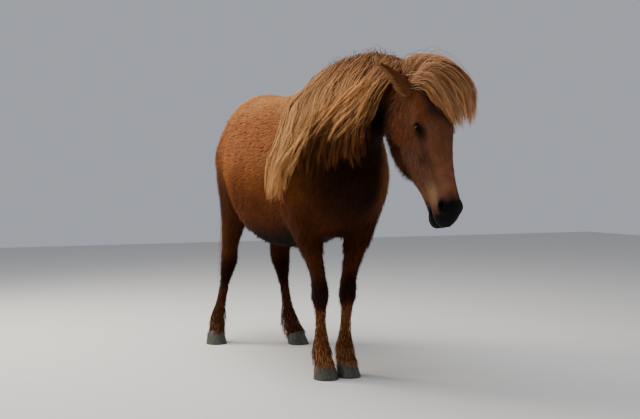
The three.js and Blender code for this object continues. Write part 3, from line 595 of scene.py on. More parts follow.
skin_at = read(skin_mesh, "vertices", "co", 3)
skin_at = mix(skin_at, loose_average(skin_mesh, skin_at), 0.5)
on_head = head_local(skin_at)[:, 0] > -20
for rounds in (2, 2):
    skin_at[on_head] = settle(skin_at[on_head], rounds)
    skin_at = np.where(on_head[:, None], mix(skin_at, loose_average(skin_mesh, skin_at), 0.3), skin_at)
skin_mesh.vertices.foreach_set("co", (skin_at + layout).ravel())
skin_mesh.update()
skin_mesh.shade_smooth()
skin = bpy.data.objects.new("skin", skin_mesh)
bpy.context.scene.collection.objects.link(skin)
bpy.context.view_layer.objects.active = skin
skin.select_set(True)
bpy.ops.object.mode_set(mode="EDIT")
bpy.ops.mesh.select_all(action="SELECT")
bpy.ops.uv.smart_project(angle_limit=1.15, island_margin=0.001)
bpy.ops.object.mode_set(mode="OBJECT")
skin.select_set(False)
skin_mesh.uv_layers[0].name = "OFBake"


def paint(red, green, blue):
    """A colour named by its 0-255 display values, as the light-true numbers that shaders use."""
    share = np.array([red, green, blue]) / 255
    return np.where(share <= 0.04045, share / 12.92, ((share + 0.055) / 1.055) ** 2.4)


def over(base, colour, amount):
    return base + (np.asarray(colour) - base) * amount[:, None]


def sway(points, seed, scale):
    """A slow wandering value in each of three ways, the same for neighbours."""
    rng = np.random.default_rng(seed)
    total = np.zeros((len(points), 3))
    for _ in range(5):
        waves = rng.normal(0, 1 / scale, (3, 3))
        total += np.sin(points @ waves + rng.uniform(0, 6.28, 3))
    return total / 2.2


def spot(down, face, at, size):
    """A soft mark on the head: 1 at its middle and 0 well outside it."""
    return np.exp(-(((down - at[0]) / size[0]) ** 2 + ((face - at[1]) / size[1]) ** 2))


def head_colour(points):
    """Red-brown, paler beside the muzzle, with dark lids, nostrils and lips; painted light down the front of
    the nose, and painted shade under the jaw, below the cheekbone, on the brow under the forelock and deep
    in the nostrils.
    """
    down, face, side = head_local(points).T
    side = abs(side)
    front = smooth((face - 20) / 30)
    shade = np.tile(paint(110, 70, 50), (len(points), 1))
    shade = over(shade, paint(112, 60, 28), smooth((side - 52) / 30) * smooth((290 - down) / 90))
    # Painted shade: darker under the jaw.
    shade = over(shade, paint(66, 36, 22), smooth((-face - 70) / 70))
    # Painted light: the front of the face paler from the eyes down, lightening what faces away from the
    # lamps.
    shade = over(shade, paint(148, 92, 64), front * smooth((down - 170) / 60))
    mealy = spot(down, face, (480, -6), (52, 34)) * smooth((side - 26) / 24)
    shade = over(shade, paint(150, 112, 82), mealy * 0.9)
    # Painted shade: a dark spot in the hollow below the end of the cheekbone.
    shade = over(shade, paint(46, 26, 18), spot(down, face, (334, -10), (20, 15)) * 0.55)
    lids = np.exp(-((((down - 228) / 42) ** 2 + ((face - 36) / 25) ** 2) ** 1.5)) * smooth((side - 60) / 20)
    shade = over(shade, paint(24, 16, 13), lids * 0.92)
    shade = over(shade, paint(140, 96, 66), spot(down, face, (184, 16), (9, 20)) * 0.6)
    # Painted shadow of the forelock: the brow darker under it.
    brow = front * smooth((205 - down) / 50) * smooth((80 - side) / 30)
    shade = over(shade, paint(72, 42, 34), brow * 0.7)
    beside = smooth((16 - face) / 14) * smooth((face + 50) / 16)
    edge = down - 0.08 * face + 8 * np.sin(side / 12) - 34 * beside
    shade = over(shade, paint(62, 40, 30), smooth((edge - 470) / 50) * 0.7)
    shade = over(shade, paint(25, 23, 23), smooth((edge - 512) / 26))
    # Painted shade: the nostrils' pits near black, darker than the dark skin of the muzzle.
    nostril_shadow = smooth(1.5 - np.hypot((down - 540) / 27, (face - 28) / 17)) * smooth((side - 30) / 14)
    shade = over(shade, paint(5, 4, 4), nostril_shadow)
    lip = np.exp(-(((face + 33) / 3.5) ** 2)) * smooth((down - 500) / 24)
    return over(shade, paint(92, 78, 68), lip * 0.55)


def coat_colour(points, belongs):
    """Chestnut with painted light and shade: dull gold along the top, partly painted light from above;
    browner down the flank to a belly near black with painted shade; a chest darkened partly by painted
    shade; painted light on the left edge of chest and neck; painted shade low on the neck and behind the
    cheek; dark lower legs.
    """
    x, y, z = points.T
    drift = sway(points, 3, 0.16)[:, 0] * 0.035
    trunk_shade = np.tile(paint(132, 76, 34), (len(points), 1))
    # Paler along the top: partly painted light from above.
    trunk_shade = over(trunk_shade, paint(150, 98, 54), smooth((z + drift - 1.20) / 0.14))
    # Darker down the flank and near black on the belly: painted shade under the body.
    trunk_shade = over(trunk_shade, paint(92, 46, 17), smooth((1.02 + drift - z) / 0.2))
    trunk_shade = over(trunk_shade, paint(13, 6, 2), smooth((0.80 + drift - z) / 0.14))
    # Chest darker on its right side, partly painted shade.
    breast = smooth((x - 0.02) / 0.16) * smooth((1.16 - z) / 0.2)
    trunk_shade = over(trunk_shade, paint(46, 23, 9), breast * smooth((0.17 - y) / 0.06))
    # Painted light: a lit strip along the left edge of the chest.
    painted_lit_edge = breast * smooth((y - 0.14) / 0.06) * smooth((z - 0.72) / 0.1)
    trunk_shade = over(trunk_shade, paint(168, 104, 46), painted_lit_edge)
    neck_shade = np.tile(paint(112, 62, 28), (len(points), 1))
    # Painted shade: the neck darker low down, under the mane and jaw.
    neck_shade = over(neck_shade, paint(40, 20, 9), smooth((1.27 - z) / 0.12))
    # Painted light: the neck's left side paler, where the light from behind reaches it.
    neck_shade = over(neck_shade, paint(168, 104, 48), smooth((y - 0.13) / 0.05))
    # Painted shadow behind the cheek.
    neck_shade = over(neck_shade, paint(11, 5, 2), smooth((x - 0.28) / 0.1) * smooth((1.30 - z) / 0.1))
    front_leg, hind_leg = smooth((x + 0.3) / 0.1), smooth((-0.3 - x) / 0.1)
    leg_shade = np.tile(paint(72, 35, 10), (len(points), 1))
    leg_shade = over(leg_shade, paint(40, 16, 6), smooth((0.52 + drift - z) / 0.1))
    leg_shade = over(leg_shade, paint(116, 62, 28), smooth((0.35 + drift - z) / 0.05) * front_leg)
    leg_shade = over(leg_shade, paint(74, 38, 18), smooth((0.33 + drift - z) / 0.08) * hind_leg)
    shades = np.stack([trunk_shade, neck_shade, head_colour(points), leg_shade, leg_shade], 1)
    shade = (shades * belongs[:, :, None]).sum(1)
    return shade * (1 + 0.08 * sway(points, 9, 0.03)[:, :1])


def hair_lay(points, belongs, out):
    """The way the hair lies, along the surface."""
    x, z = points[:, 0], points[:, 2]
    zero = np.zeros_like(x)
    local = head_local(points)
    low_side = smooth((0.98 - z) / 0.3)
    breast = smooth(x / 0.14)
    trunk_fall = mix(mix(-0.35, -0.85, low_side), -1, breast)
    trunk_way = np.stack([mix(-0.9, -0.25, breast), zero, trunk_fall], 1)
    neck_way = np.stack([zero - 0.5, zero, zero - 0.9], 1)
    jaw = smooth((10 - local[:, 1]) / 90)
    down_head = np.stack([mix(0.95, 0.6, jaw), mix(0.0, -0.75, jaw), zero], 1) @ head_axes
    leg_way = np.stack([zero - 0.12, zero, zero - 1], 1)
    ways = np.stack([trunk_way, neck_way, down_head, leg_way, leg_way], 1)
    way = unit((ways * belongs[:, :, None]).sum(1)) + 0.12 * sway(points, 5, 0.1)
    return unit(way - (way * out).sum(1, keepdims=True) * out)


def give(mesh, name, kind, values, domain="POINT"):
    """Stores an attribute on a mesh."""
    made = mesh.attributes.new(name, kind, domain)
    field_name = {"FLOAT": "value", "FLOAT_COLOR": "color", "FLOAT_VECTOR": "vector"}[kind]
    if kind == "FLOAT_COLOR":
        values = np.concatenate([values, np.ones((len(values), 1))], 1)
    made.data.foreach_set(field_name, np.ascontiguousarray(values, dtype=np.float32).ravel())


skin_at = read(skin_mesh, "vertices", "co", 3) - layout
skin_out = read(skin_mesh, "vertices", "normal", 3)
skin_corners = read(skin_mesh, "polygons", "vertices", 3, int)
skin_uv = read(skin_mesh.uv_layers["OFBake"], "data", "uv", 2).reshape(-1, 3, 2)
skin_belongs = shares(skin_at)
skin_shade = coat_colour(skin_at, skin_belongs)


def coloured(mesh, shade, along):
    """Gives a mesh its colours, and the even tint that single hairs vary from."""
    give(mesh, "shade", "FLOAT_COLOR", shade)
    give(mesh, "tint", "FLOAT", np.full(len(mesh.vertices), 0.5))
    give(mesh, "along", "FLOAT", np.full(len(mesh.vertices), along))


def linked(tree, kind, inputs=(), **settings):
    """A node with its settings, and its inputs linked or set."""
    made = tree.nodes.new(kind)
    for name, value in settings.items():
        setattr(made, name, value)
    for name, value in dict(inputs).items():
        if isinstance(value, bpy.types.NodeSocket):
            tree.links.new(value, made.inputs[name])
        else:
            made.inputs[name].default_value = value
    return made


def math_node(tree, operation, a, b):
    return linked(tree, "ShaderNodeMath", {0: a, 1: b}, operation=operation).outputs["Value"]


def new_material(name, roughness, specular):
    material = bpy.data.materials.new(name)
    material.use_nodes = True
    shader = material.node_tree.nodes["Principled BSDF"]
    shader.inputs["Roughness"].default_value = roughness
    shader.inputs["Specular IOR Level"].default_value = specular
    return material, material.node_tree, shader.inputs


def bumped(tree, surface, height, strength, distance):
    """Raises a shader's surface by a pattern."""
    bump = linked(tree, "ShaderNodeBump", {"Height": height, "Strength": strength, "Distance": distance})
    tree.links.new(bump.outputs["Normal"], surface["Normal"])


def hair_material(label, bump_scale, variety, roughness=0.62, root=0.62, tip=1.12):
    """Hair whose colour is in its mesh, darker at the root, with each tuft a little different."""
    material, tree, surface = new_material(label, roughness, 0.05)
    place = tree.nodes.new("ShaderNodeTexCoord").outputs["Object"]
    names = ("shade", "tint", "along")
    shade, tint, along = (linked(tree, "ShaderNodeAttribute", attribute_name=name).outputs for name in names)
    mottle = linked(tree, "ShaderNodeTexNoise", {"Vector": place, "Scale": 26, "Detail": 3}).outputs["Fac"]
    levels = (
        {"Value": tint["Fac"], "To Min": 1 - variety, "To Max": 1 + variety},
        {"Value": along["Fac"], "To Min": root, "To Max": tip},
        {"Value": mottle, "From Min": 0.3, "From Max": 0.7, "To Min": 0.86, "To Max": 1.14},
    )
    tuft, length, patch = (linked(tree, "ShaderNodeMapRange", level).outputs["Result"] for level in levels)
    light = math_node(tree, "MULTIPLY", math_node(tree, "MULTIPLY", tuft, length), patch)
    colour = linked(tree, "ShaderNodeVectorMath", {0: shade["Color"], "Scale": light}, operation="SCALE")
    tree.links.new(colour.outputs["Vector"], surface["Base Color"])
    grain = linked(tree, "ShaderNodeTexNoise", {"Vector": place, "Scale": bump_scale, "Detail": 4})
    bumped(tree, surface, grain.outputs["Fac"], 0.35, 0.001)
    return material


coloured(skin_mesh, skin_shade, 0.45)
skin_mesh.materials.append(hair_material("skin under the coat", 420, 0.1))
leg_nodes = ["leg_front_right", "leg_front_left", "leg_hind_right", "leg_hind_left"]
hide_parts("neck", "head", "torso", *leg_nodes)
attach(skin, "root")

# The coat: tufts of winter hair rooted all over the skin and lying along it, a thumb's width
# long on the flank, longer under belly and jaw, short on the face, and drawn into small clumps.
tufts_most = 38000


def attribute(tree, name, kind):
    made = linked(tree, "GeometryNodeInputNamedAttribute", {"Name": name}, data_type=kind)
    return made.outputs["Attribute"]


def stored(tree, geometry, name, value, kind, domain="POINT"):
    """Keeps a value on the geometry, under a name."""
    inputs = {"Geometry": geometry, "Name": name, "Value": value}
    made = linked(tree, "GeometryNodeStoreNamedAttribute", inputs, data_type=kind, domain=domain)
    return made.outputs["Geometry"]


def vector_math(tree, operation, a, b):
    other = "Scale" if operation == "SCALE" else 1
    return linked(tree, "ShaderNodeVectorMath", {0: a, other: b}, operation=operation).outputs["Vector"]


def position(tree):
    place = tree.nodes.new("GeometryNodeInputPosition").outputs["Position"]
    return place, linked(tree, "ShaderNodeSeparateXYZ", {"Vector": place}).outputs


def new_tree(name, inputs):
    tree = bpy.data.node_groups.new(name, "GeometryNodeTree")
    tree.interface.new_socket("Geometry", in_out="INPUT", socket_type="NodeSocketGeometry")
    for label, value in inputs.items():
        kind = "NodeSocketInt" if isinstance(value, int) else "NodeSocketFloat"
        tree.interface.new_socket(label, in_out="INPUT", socket_type=kind).default_value = value
    tree.interface.new_socket("Material", in_out="INPUT", socket_type="NodeSocketMaterial")
    tree.interface.new_socket("Geometry", in_out="OUTPUT", socket_type="NodeSocketGeometry")
    return tree, tree.nodes.new("NodeGroupInput").outputs, tree.nodes.new("NodeGroupOutput").inputs


def finished(tree, given, made, geometry):
    """Keeps how far along its hair each point is, and its patch on the unwrapped skin."""
    whole = linked(tree, "GeometryNodeRealizeInstances", {"Geometry": geometry}).outputs["Geometry"]
    blade = attribute(tree, "blade", "FLOAT_VECTOR")
    share = linked(tree, "ShaderNodeSeparateXYZ", {"Vector": blade}).outputs["Y"]
    whole = stored(tree, whole, "along", share, "FLOAT")
    patch = vector_math(tree, "SCALE", blade, given["Patch"])
    patch = vector_math(tree, "ADD", attribute(tree, "bake", "FLOAT_VECTOR"), patch)
    whole = stored(tree, whole, "OFBake", patch, "FLOAT2", "CORNER")
    dyed = linked(tree, "GeometryNodeSetMaterial", {"Geometry": whole, "Material": given["Material"]})
    tree.links.new(dyed.outputs["Geometry"], made["Geometry"])


def tuft_tree():
    """Stands a flat, tapering, drooping tuft on each root."""
    tree, given, made = new_tree("tufts", {"Rows": 4, "Droop": 0.14, "Patch": 0.003})
    blade = linked(tree, "GeometryNodeMeshGrid", {"Vertices X": 2, "Vertices Y": given["Rows"]})
    place, along = position(tree)
    share = math_node(tree, "ADD", along["Y"], 0.5)
    taper = math_node(tree, "SUBTRACT", 1.0, math_node(tree, "POWER", share, 1.8))
    fall = math_node(tree, "MULTIPLY", math_node(tree, "POWER", share, 2.0), given["Droop"])
    bend = {
        "X": math_node(tree, "MULTIPLY", along["X"], taper),
        "Y": share,
        "Z": math_node(tree, "MULTIPLY", fall, -1.0),
    }
    bent = linked(tree, "ShaderNodeCombineXYZ", bend).outputs["Vector"]
    shaped = {"Geometry": blade.outputs["Mesh"], "Position": bent}
    blade = linked(tree, "GeometryNodeSetPosition", shaped).outputs["Geometry"]
    tipped = linked(tree, "GeometryNodeMergeByDistance", {"Geometry": blade, "Distance": 0.001})
    blade = stored(tree, tipped.outputs["Geometry"], "blade", place, "FLOAT_VECTOR")
    ways = {
        "Primary Axis": attribute(tree, "lie", "FLOAT_VECTOR"),
        "Secondary Axis": attribute(tree, "out", "FLOAT_VECTOR"),
    }
    turn = linked(tree, "FunctionNodeAxesToRotation", ways, primary_axis="Y", secondary_axis="Z")
    roots = linked(tree, "GeometryNodeMeshToPoints", {"Mesh": given["Geometry"]})
    stand = {
        "Points": roots.outputs["Points"],
        "Instance": blade,
        "Rotation": turn.outputs["Rotation"],
        "Scale": attribute(tree, "size", "FLOAT_VECTOR"),
    }
    stood = linked(tree, "GeometryNodeInstanceOnPoints", stand)
    finished(tree, given, made, stood.outputs["Instances"])
    return tree


def placed(mesh, slot, *nodes):
    """Puts a finished mesh in the scene, in place of the nodes it is a finer form of."""
    piece = bpy.data.objects.new(mesh.name, mesh)
    bpy.context.scene.collection.objects.link(piece)
    if nodes:
        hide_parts(*nodes)
    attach(piece, "root")


def grown(name, host, tree, material, slot, *nodes):
    """Runs a tree on a host mesh and keeps the result as a plain piece."""
    source = bpy.data.objects.new(name + "_roots", host)
    bpy.context.scene.collection.objects.link(source)
    grower = source.modifiers.new("grow", "NODES")
    grower.node_group = tree
    for item in tree.interface.items_tree:
        if item.name == "Material":
            grower[item.identifier] = material
    bpy.context.view_layer.update()
    evaluated = source.evaluated_get(bpy.context.evaluated_depsgraph_get())
    mesh = bpy.data.meshes.new_from_object(evaluated)
    for spare in ("lie", "out", "size", "blade", "bake", "facing", "edge"):
        if spare in mesh.attributes:
            mesh.attributes.remove(mesh.attributes[spare])
    mesh.name = name
    bpy.data.objects.remove(source)
    placed(mesh, slot, *nodes)


def tuft_host(roots, lie, out, size, shade, tint, uv):
    """Bare roots with all that the tuft maker needs to know of each."""
    host = bpy.data.meshes.new("roots")
    host.from_pydata((roots + layout).tolist(), [], [])
    bake = np.pad(uv, [(0, 0), (0, 1)])
    for name, values in {"lie": lie, "out": out, "size": size, "bake": bake}.items():
        give(host, name, "FLOAT_VECTOR", values)
    give(host, "shade", "FLOAT_COLOR", shade)
    give(host, "tint", "FLOAT", tint)
    return host


def scattered(weights, number, rng):
    """Picks places on the skin: the face of each, and its shares of that face's corners."""
    total = np.cumsum(weights)
    faces = np.searchsorted(total, rng.uniform(0, total[-1], number))
    a = np.sqrt(rng.random(number))
    b = rng.random(number)
    return faces, np.stack([1 - a, a * (1 - b), a * b], 1)


def blended(values, faces, parts):
    return (values[skin_corners[faces]] * parts[:, :, None]).sum(1)


def clump_pull(tips, size, seed):
    """From each tip toward the middle of the clump that it falls in."""
    cells = np.floor(tips / size)
    code = (cells @ np.array([73856093.0, 19349663.0, 83492791.0])).astype(np.int64) + seed
    jitter = np.stack([((code * k) % 1009) / 1009 for k in (7919, 6101, 5101)], 1)
    return (cells + 0.25 + 0.5 * jitter) * size - tips


face_corners = skin_at[skin_corners]
face_sides = face_corners[:, 1:] - face_corners[:, :1]
face_area = 0.5 * np.linalg.norm(np.cross(face_sides[:, 0], face_sides[:, 1]), axis=1)
face_belongs = skin_belongs[skin_corners].mean(1)
face_head = head_local(face_corners.mean(1))
on_muzzle = smooth((face_head[:, 0] - 490) / 50)
lid_gap = np.linalg.norm(one_side(face_head) - (222, 34, 96), axis=1)

# Each region's tuft spacing and width, clump size, how far it is drawn into clumps, lift and seed
coat_regions = {
    "trunk": (0.0056, 0.0046, 0.034, 0.1, 0.36, 11),
    "neck": (0.0047, 0.0042, 0.026, 0.4, 0.36, 12),
    "head": (0.0031, 0.0023, 0.008, 0.5, 0.36, 13),
    "front_legs": (0.0040, 0.0036, 0.014, 0.6, 0.52, 14),
    "hind_legs": (0.0049, 0.0036, 0.014, 0.6, 0.52, 15),
}
spacing = face_belongs @ np.array([row[0] for row in coat_regions.values()])
density = face_area / spacing**2 * (1 - 0.85 * on_muzzle) * (lid_gap > 19)
hoof_edge = 0.035
density[face_corners[:, :, 2].min(1) < hoof_edge] = 0
tuft_maker = tuft_tree()
coat_hair = hair_material("coat hair", 700, 0.2)
face_region = face_belongs.argmax(1)
for region, (name, (_, tuft_width, clump, drawn, raised, seed)) in enumerate(coat_regions.items()):
    rng = np.random.default_rng(seed)
    weights = np.where(face_region == region, density, 0)
    number = int(weights.sum())
    faces, parts = scattered(weights, number, rng)
    order = np.argsort(face_corners[faces, 0, 0 if name in ("trunk", "neck") else 1])
    faces, parts = faces[order], parts[order]
    roots = blended(skin_at, faces, parts)
    out = unit(blended(skin_out, faces, parts))
    belongs = blended(skin_belongs, faces, parts)
    length = coat_length(roots, belongs) * rng.uniform(0.75, 1.25, number)
    lie = hair_lay(roots, belongs, out)
    pull = clump_pull(roots + lie * length[:, None], clump, seed)
    pull -= (pull * out).sum(1, keepdims=True) * out
    lift = raised * rng.uniform(0.7, 1.35, number)
    lie = lie + drawn * pull / length[:, None] + rng.normal(0, 0.1, (number, 3))
    lie = unit(lie + lift[:, None] * out)
    width = tuft_width * rng.uniform(0.75, 1.25, number)
    uv = (skin_uv[faces] * parts[:, :, None]).sum(1)
    shade = blended(skin_shade, faces, parts)
    tint = rng.random(number)
    size = np.stack([width, length, length], 1)
    for piece, start in enumerate(range(0, number, tufts_most)):
        part = slice(start, start + tufts_most)
        host = tuft_host(*(values[part] for values in (roots, lie, out, size, shade, tint, uv)))
        grown(f"coat_{name}_{piece + 1}", host, tuft_maker, coat_hair, "coat")

# The ears: two furred leaves rolled into cups, turned out and back, almost closed at their bases
ear_length = 155
ear_half = 29
ear_base = {"right": in_head(50, 14, -74), "left": in_head(50, 14, 74)}
ear_axis = {"right": (-0.36, -0.66, 0.62), "left": (0.45, 0.85, 0.3)}
ear_open = {"right": head_way(0.1, -0.86, -0.45), "left": head_way(0.5, 0.6, 0.5)}


def ear_grid(name, rows, columns, inset=0.0):
    """Points of the ear's outer face, row by row from base to tip, and its own three ways."""
    forward, left, rise = ear_axis[name]
    along = head_forward * forward + head_left * left + up * rise
    across = unit(np.cross(along, ear_open[name]))
    front = unit(np.cross(across, along))
    share = np.linspace(0, 1, rows)[:, None]
    half = ear_half * (0.2 + 0.8 * np.abs(np.sin(np.pi * mix(0.24, 1, share))) ** 0.75) - inset
    roll = mix(2.7, 1.05, smooth(share))
    angle = roll * np.linspace(-1, 1, columns)[None, :]
    centre = ear_base[name] + along * mix(-24, ear_length, share)[..., None] * mm
    way = -front * np.cos(angle)[..., None] + across * np.sin(angle)[..., None]
    return centre + way * half[..., None] * mm, way, unit(along)


def closed_mesh(name, points, faces):
    """A smooth closed mesh, its faces turned outward."""
    mesh = bpy.data.meshes.new(name)
    mesh.from_pydata((points + layout).tolist(), [], faces)
    shape = bmesh.new()
    shape.from_mesh(mesh)
    bmesh.ops.recalc_face_normals(shape, faces=shape.faces[:])
    shape.to_mesh(mesh)
    shape.free()
    mesh.shade_smooth()
    return mesh


def sheet_mesh(name, front, back):
    """A closed thin sheet between two grids of points."""
    rows, columns = front.shape[:2]
    points = np.concatenate([front.reshape(-1, 3), back.reshape(-1, 3)])
    f = np.arange(rows * columns).reshape(rows, columns)
    b = f + rows * columns
    quads = []
    for r in range(rows - 1):
        for c in range(columns - 1):
            quads.append((f[r, c], f[r, c + 1], f[r + 1, c + 1], f[r + 1, c]))
            quads.append((b[r, c], b[r + 1, c], b[r + 1, c + 1], b[r, c + 1]))
        quads.append((f[r, 0], f[r + 1, 0], b[r + 1, 0], b[r, 0]))
        quads.append((f[r, -1], b[r, -1], b[r + 1, -1], f[r + 1, -1]))
    for c in range(columns - 1):
        quads.append((f[0, c], b[0, c], b[0, c + 1], f[0, c + 1]))
        quads.append((f[-1, c], f[-1, c + 1], b[-1, c + 1], b[-1, c]))
    return closed_mesh(name, points, np.array(quads).tolist())


def root_patch(points):
    """The unwrapped skin's place nearest to each point, for hair that grows from it."""
    nearest = np.array([skin_tree.find(Vector(point))[1] for point in points])
    return skin_vertex_uv[nearest]


skin_tree = mathutils.kdtree.KDTree(len(skin_at))
for number, point in enumerate(skin_at):
    skin_tree.insert(point, number)
skin_tree.balance()
skin_vertex_uv = np.zeros((len(skin_at), 2))
skin_vertex_uv[skin_corners.ravel()] = skin_uv.reshape(-1, 2)


ear_skin = hair_material("ear skin", 500, 0.1)
ear_rows = 26
ear_columns = 25
ear_wall = 3.2
ear_hairs = 2600
for seed, name in enumerate(ear_base):
    rng = np.random.default_rng(60 + seed)
    outer, way, along = ear_grid(name, ear_rows, ear_columns)
    inner, _, _ = ear_grid(name, ear_rows, ear_columns, inset=ear_wall)
    mesh = sheet_mesh(f"ear_shell_{name}", outer, inner)
    outside = np.arange(len(mesh.vertices)) < ear_rows * ear_columns
    coloured(mesh, np.where(outside[:, None], paint(108, 63, 38), paint(96, 66, 50)), 0.5)
    mesh.materials.append(ear_skin)
    placed(mesh, "coat", f"ear_{name}")
    row = rng.uniform(2, 25, ear_hairs)
    column = rng.uniform(0, 24, ear_hairs)
    inside = rng.random(ear_hairs) < 0.35
    within = inside.sum()
    at_front = rng.random(within) < 0.5
    column[inside] = np.where(at_front, rng.uniform(0, 5, within), rng.uniform(19, 24, within))
    r = row.astype(int)
    c = np.minimum(column.astype(int), 23)
    down = (row - r)[:, None]
    over_by = (column - c)[:, None]
    next_r = np.minimum(r + 1, 25)

    def on_ear(grid):
        here = mix(grid[r, c], grid[r, c + 1], over_by)
        return mix(here, mix(grid[next_r, c], grid[next_r, c + 1], over_by), down)

    out = unit(on_ear(way)) * np.where(inside, -1, 1)[:, None]
    roots = np.where(inside[:, None], on_ear(inner), on_ear(outer))
    fringe = inside | (np.minimum(column, 24 - column) < 2.5)
    length = np.where(fringe, 0.026, 0.010) * rng.uniform(0.7, 1.3, ear_hairs)
    toward = np.where(fringe[:, None], 0.5 * unit(np.array(ear_open[name])), 0)
    lie = unit(along + (0.35 * out) + toward + rng.normal(0, 0.14, (ear_hairs, 3)))
    shade = np.where(fringe[:, None], paint(160, 112, 72), paint(124, 74, 44))
    shade = np.where((inside & (row < 12))[:, None], paint(120, 84, 60), shade)
    size = np.stack([np.full(ear_hairs, 0.0022), length, length], 1)
    uv = root_patch(ear_base[name][None]) + rng.uniform(-0.01, 0.01, (ear_hairs, 2))
    host = tuft_host(roots, lie, out, size, shade, rng.random(ear_hairs), uv)
    grown(f"ear_fur_{name}", host, tuft_maker, coat_hair, "coat")

# Long hair: the mane, forelock, tail and feather are thousands of flat strands, each a fine
# ribbon along its own line, gathered into locks that the wind has parted.


def strand_tree():
    """Sweeps a narrow ribbon along each line, turned to face out."""
    tree, given, made = new_tree("strands", {"Patch": 0.003})
    lines = linked(tree, "GeometryNodeMeshToCurve", {"Mesh": given["Geometry"]}).outputs["Curve"]
    lay = {"Curve": lines, "Normal": attribute(tree, "facing", "FLOAT_VECTOR")}
    lines = linked(tree, "GeometryNodeSetCurveNormal", lay, mode="FREE").outputs["Curve"]
    profile = linked(tree, "GeometryNodeCurvePrimitiveLine", {"Start": (0, -0.5, 0), "End": (0, 0.5, 0)})
    edged = stored(tree, profile.outputs["Curve"], "edge", position(tree)[1]["Y"], "FLOAT")
    sweep = {"Curve": lines, "Profile Curve": edged, "Scale": attribute(tree, "wide", "FLOAT")}
    ribbon = linked(tree, "GeometryNodeCurveToMesh", sweep).outputs["Mesh"]
    across = linked(tree, "ShaderNodeCombineXYZ", {"X": attribute(tree, "edge", "FLOAT")}).outputs["Vector"]
    both = vector_math(tree, "ADD", attribute(tree, "blade", "FLOAT_VECTOR"), across)
    finished(tree, given, made, stored(tree, ribbon, "blade", both, "FLOAT_VECTOR"))
    return tree


strand_maker = strand_tree()


def strand_piece(name, paths, facing, wide, shade, tint, slot, material, *nodes):
    """Makes a piece from lines of hair: paths and facing for each point, a width for each line."""
    lines, steps = paths.shape[:2]
    number = np.arange(lines * steps).reshape(lines, steps)
    pairs = np.stack([number[:, :-1], number[:, 1:]], -1).reshape(-1, 2)
    host = bpy.data.meshes.new("lines")
    host.from_pydata((paths.reshape(-1, 3) + layout).tolist(), pairs.tolist(), [])
    facing = unit(facing + np.random.default_rng(lines).normal(0, 0.42, (lines, 1, 3)))
    share = np.tile(np.linspace(0, 1, steps), (lines, 1))
    taper = 0.22 + 0.78 * np.clip(np.sin(np.pi * np.clip(share * 0.75 + 0.25, 0, 1)), 0, 1) ** 0.7
    bake = np.repeat(root_patch(paths[:, 0]), steps, axis=0)
    give(host, "facing", "FLOAT_VECTOR", facing.reshape(-1, 3))
    give(host, "blade", "FLOAT_VECTOR", np.stack([0 * share, share, 0 * share], -1).reshape(-1, 3))
    give(host, "bake", "FLOAT_VECTOR", np.pad(bake, [(0, 0), (0, 1)]))
    give(host, "wide", "FLOAT", (wide[:, None] * taper).ravel())
    give(host, "shade", "FLOAT_COLOR", shade.reshape(-1, 3))
    give(host, "tint", "FLOAT", np.repeat(tint, steps))
    grown(name, host, strand_maker, material, slot, *nodes)


def on_lines(lines, t):
    """Points at shares t of smooth lines, each through its own places."""
    ends = np.concatenate([2 * lines[:, :1] - lines[:, 1:2], lines, 2 * lines[:, -1:] - lines[:, -2:-1]], 1)
    at = np.clip(t * (lines.shape[1] - 1), 0, lines.shape[1] - 1 - 1e-9)
    i = at.astype(int)
    u = (at - i)[..., None]
    line = np.arange(len(lines))[:, None]
    a, b, c, d = (ends[line, i + k] for k in range(4))
    return 0.5 * (2 * b + (c - a) * u + (2 * a - 5 * b + 4 * c - d) * u**2 + (3 * b - a - 3 * c + d) * u**3)


def between(guides, share):
    """The line that stands at each share across a fan of guides."""
    at = np.array([guide[0] for guide in guides])
    places = np.array([guide[1] for guide in guides], float)
    i = np.clip(np.searchsorted(at, share, side="right") - 1, 0, len(at) - 2)
    part = np.clip((share - at[i]) / (at[i + 1] - at[i]), 0, 1)
    return mix(places[i], places[i + 1], part[:, None, None])


def in_locks(lead, count, steps, rng, reach, spread, wave):
    """Strands along the locks' lead lines in metres, spread at the root and drawn in at the tip."""
    locks = len(lead)
    lock = np.sort(np.arange(count) % locks)
    lock_reach = rng.uniform(*reach, locks)[lock]
    t = np.linspace(0, 1, steps)[None, :] * (lock_reach * (1 - 0.4 * rng.random(count) ** 2))[:, None]
    paths = on_lines(lead[lock], t)
    loose = np.where(rng.random(count) < 0.07, 3.5, 1)[:, None, None]
    own = rng.normal(0, 1, (count, 1, 3)) * loose
    reached = t[..., None]
    paths = paths + own * mix(spread[0], spread[1], np.clip(reached * 1.6, 0, 1))
    for size, beats, owner in ((wave, (5, 10), lock), (wave * 0.35, (9, 20), np.arange(count))):
        number = owner.max() + 1
        phase = rng.uniform(0, 6.28, (number, 1, 3))[owner]
        beat = rng.uniform(*beats, (number, 1, 3))[owner]
        way = rng.normal(0, 1, (number, 1, 3))[owner]
        paths = paths + size * way * np.sin(beat * reached + phase) * np.clip(reached * 2, 0, 1)
    return paths, lock


# No lock is blown farther out to the right than about this
farthest_right = -0.314


def kept_off(paths, height):
    """Lines lifted clear of the flesh, each to its own height, but for their roots."""
    count, steps = paths.shape[:2]
    share = np.linspace(0, 1, steps)[None, :]
    rising = smooth(share / 0.22) * mix(1, 0.6, smooth((share - 0.4) / 0.5))
    for _ in range(3):
        away, out = probe(paths.reshape(-1, 3))
        away = away.reshape(count, steps)
        out = out.reshape(paths.shape)
        paths = paths + out * (np.clip(height[:, None] - away, 0, 0.08) * rising)[..., None]
    past = (paths[..., 1] - farthest_right).clip(-0.05)
    paths[..., 1] = np.maximum(paths[..., 1], farthest_right + 0.2 * past)
    return paths, unit(out + [0.1, -0.25, 0.7])


def hair_shade(steps, root, tip, gold, start=0.05):
    """Colours down each strand, from its dark root to a sun-bleached tip as gold as its lock is."""
    along = np.linspace(0, 1, steps)[None, :, None]
    return mix(paint(*root), paint(*tip), smooth((along - start) / 0.75) * gold[:, None, None])
